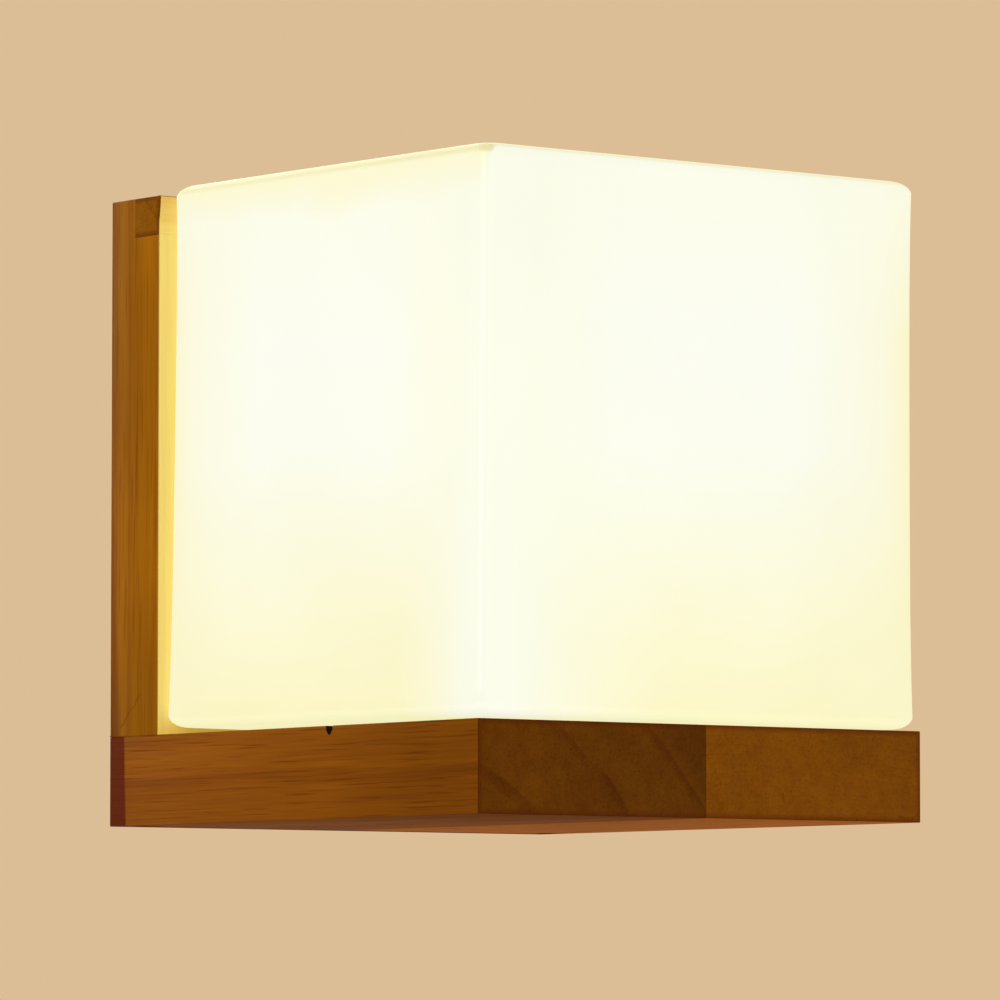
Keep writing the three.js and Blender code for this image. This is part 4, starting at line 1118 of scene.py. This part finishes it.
near_edge = put(tree, "VectorMath", {0: place, 1: (-glass_half[0], middle_y - glass_half[1], 0)},
                operation="SUBTRACT").outputs[0]
near_edge = put(tree, "VectorMath", {0: near_edge, 1: (1, 1.7, 0)}, operation="MULTIPLY").outputs[0]
near_edge = put(tree, "VectorMath", {0: near_edge}, operation="LENGTH").outputs["Value"]
whiter = ramp(tree, figure(tree, "MULTIPLY", near_edge, 16), [
    (0.16, 1.0), (0.24, 0.9), (0.45, 0.55), (0.75, 0.2), (1.0, 0.0)])
glow = blended(tree, whiter, glow, (0.744, 0.777, 0.640))
# Painted shade: the glow is turned down or yellowed on the rounded top edge of faces that look left, on
# faces that look ahead, along the front-left ridge, on the upper rim, and on faces that look up and left
# towards the key lamp, where the lamps' own light on the glass adds to it.
top_edge = ramp(tree, level, [(0.90, 0.0), (0.97, 1.0)])
leftward = ramp(tree, figure(tree, "MULTIPLY", facing[0], -1), [(0.3, 0.0), (0.8, 1.0)])
glow = blended(tree, figure(tree, "MULTIPLY", top_edge, figure(tree, "MULTIPLY", leftward, 0.8)),
               glow, (0.750, 0.736, 0.427))
ahead = ramp(tree, figure(tree, "MULTIPLY", facing[1], -1), [(0.2, 0.965), (0.85, 1.0)])
glow = blended(tree, 1.0, glow, ahead, "MULTIPLY")
ridge = ramp(tree, figure(tree, "MULTIPLY", *facing[:2]), [
    (0.05, (0.99, 0.99, 0.99)), (0.30, (0.978, 0.986, 0.98)), (0.47, (0.935, 0.955, 0.96))])
glow = blended(tree, 1.0, glow, ridge, "MULTIPLY")
upper_rim = ramp(tree, facing[2], [(0.55, 0.0), (0.80, 0.75), (0.93, 0.6), (0.99, 0.1)])
glow = blended(tree, upper_rim, glow, (0.66, 0.645, 0.37))
lamp_side = figure(tree, "MULTIPLY", ramp(tree, facing[2], [(0.05, 0.0), (0.3, 1.0)]),
                   ramp(tree, figure(tree, "MULTIPLY", facing[0], -1), [(0.05, 0.0), (0.25, 1.0)]))
glow = blended(tree, lamp_side, glow, ramp(tree, facing[2], [
    (0.2, (0.68, 0.665, 0.37)), (0.55, (0.59, 0.55, 0.25)), (0.95, (0.56, 0.51, 0.20))]))
# Painted light: faces that look down glow brighter, as they catch less of the lamps' light, and faces
# towards the wall glow much brighter still, so that they light the wood behind the glass.
underside = ramp(tree, figure(tree, "MULTIPLY", facing[2], -1), [(0.1, 0.0), (0.9, 1.0)])
glow = blended(tree, underside, glow,
               blended(tree, whiter, (0.85, 0.845, 0.505), (0.85, 0.875, 0.75)))
to_wall = ramp(tree, facing[1], [(0.5, 0.0), (0.9, 1.0)])
glow = blended(tree, to_wall, glow, (1.0, 0.96, 0.72))
tree.links.new(glow, shader.inputs["Emission Color"])
glass.data.materials.append(opal)
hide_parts("glass_shade")
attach(glass, "shade")


# The room: a plain pale floor as far below as under a wall lamp, pale air all round, and three
# soft lights.

floor_form = bmesh.new()
bmesh.ops.create_grid(floor_form, x_segments=24, y_segments=24, size=4)
bmesh.ops.translate(floor_form, verts=floor_form.verts, vec=(0, 0, -1.75))
floor = finish_mesh(floor_form, "floor")
floor_paint, tree, shader = new_material("floor_paint", Roughness=0.85)
stain = put(tree, "TexNoise", {"Vector": put(tree, "TexCoord").outputs["Object"], "Scale": 3,
                               "Detail": 3}).outputs["Fac"]
tree.links.new(ramp(tree, stain, [(0.3, (0.78, 0.60, 0.41)), (0.7, (0.81, 0.63, 0.43))]),
               shader.inputs["Base Color"])
seen = figure(tree, "MAXIMUM", put(tree, "LightPath").outputs["Is Camera Ray"],
              put(tree, "LightPath").outputs["Is Glossy Ray"])
shader.inputs["Emission Color"].default_value = (0.70, 0.50, 0.28, 1)
tree.links.new(figure(tree, "MULTIPLY", seen, 0.42), shader.inputs["Emission Strength"])
floor.data.materials.append(floor_paint)

world = bpy.data.worlds.new("room")
world.use_nodes = True
tree = world.node_tree
tree.nodes.clear()
ray = put(tree, "LightPath").outputs
seen = figure(tree, "MAXIMUM", ray["Is Camera Ray"],
              figure(tree, "MAXIMUM", ray["Is Glossy Ray"], ray["Is Transmission Ray"]))
light_air = put(tree, "Background", {"Color": (1.0, 0.98, 0.95, 1), "Strength": 0.42})
shown_air = put(tree, "Background", {"Color": (0.716, 0.515, 0.305, 1), "Strength": 1.0})
air = put(tree, "MixShader", {0: seen, 1: light_air.outputs[0], 2: shown_air.outputs[0]})
put(tree, "OutputWorld", {"Surface": air.outputs[0]})
bpy.context.scene.world = world

for name, place, size, power, colour in (
        ("key", (-2.1, -0.75, 0.75), 1.6, 46, (1.0, 0.97, 0.92)),
        ("fill", (0.9, -2.3, -0.5), 1.8, 22, (1.0, 0.98, 0.96)),
        ("rear", (0.6, 2.2, 1.0), 1.8, 30, (1.0, 0.99, 0.98))):
    lamp_data = bpy.data.lights.new(name, "AREA")
    lamp_data.size = size
    lamp_data.energy = power
    lamp_data.color = colour
    lamp = bpy.data.objects.new(name, lamp_data)
    lamp.location = place
    aim = Vector((0, -0.08, -0.05)) - Vector(place)
    lamp.rotation_euler = aim.to_track_quat("-Z", "Y").to_euler()
    bpy.context.scene.collection.objects.link(lamp)

bpy.context.scene.view_settings.view_transform = "Standard"
bpy.context.view_layer.update()
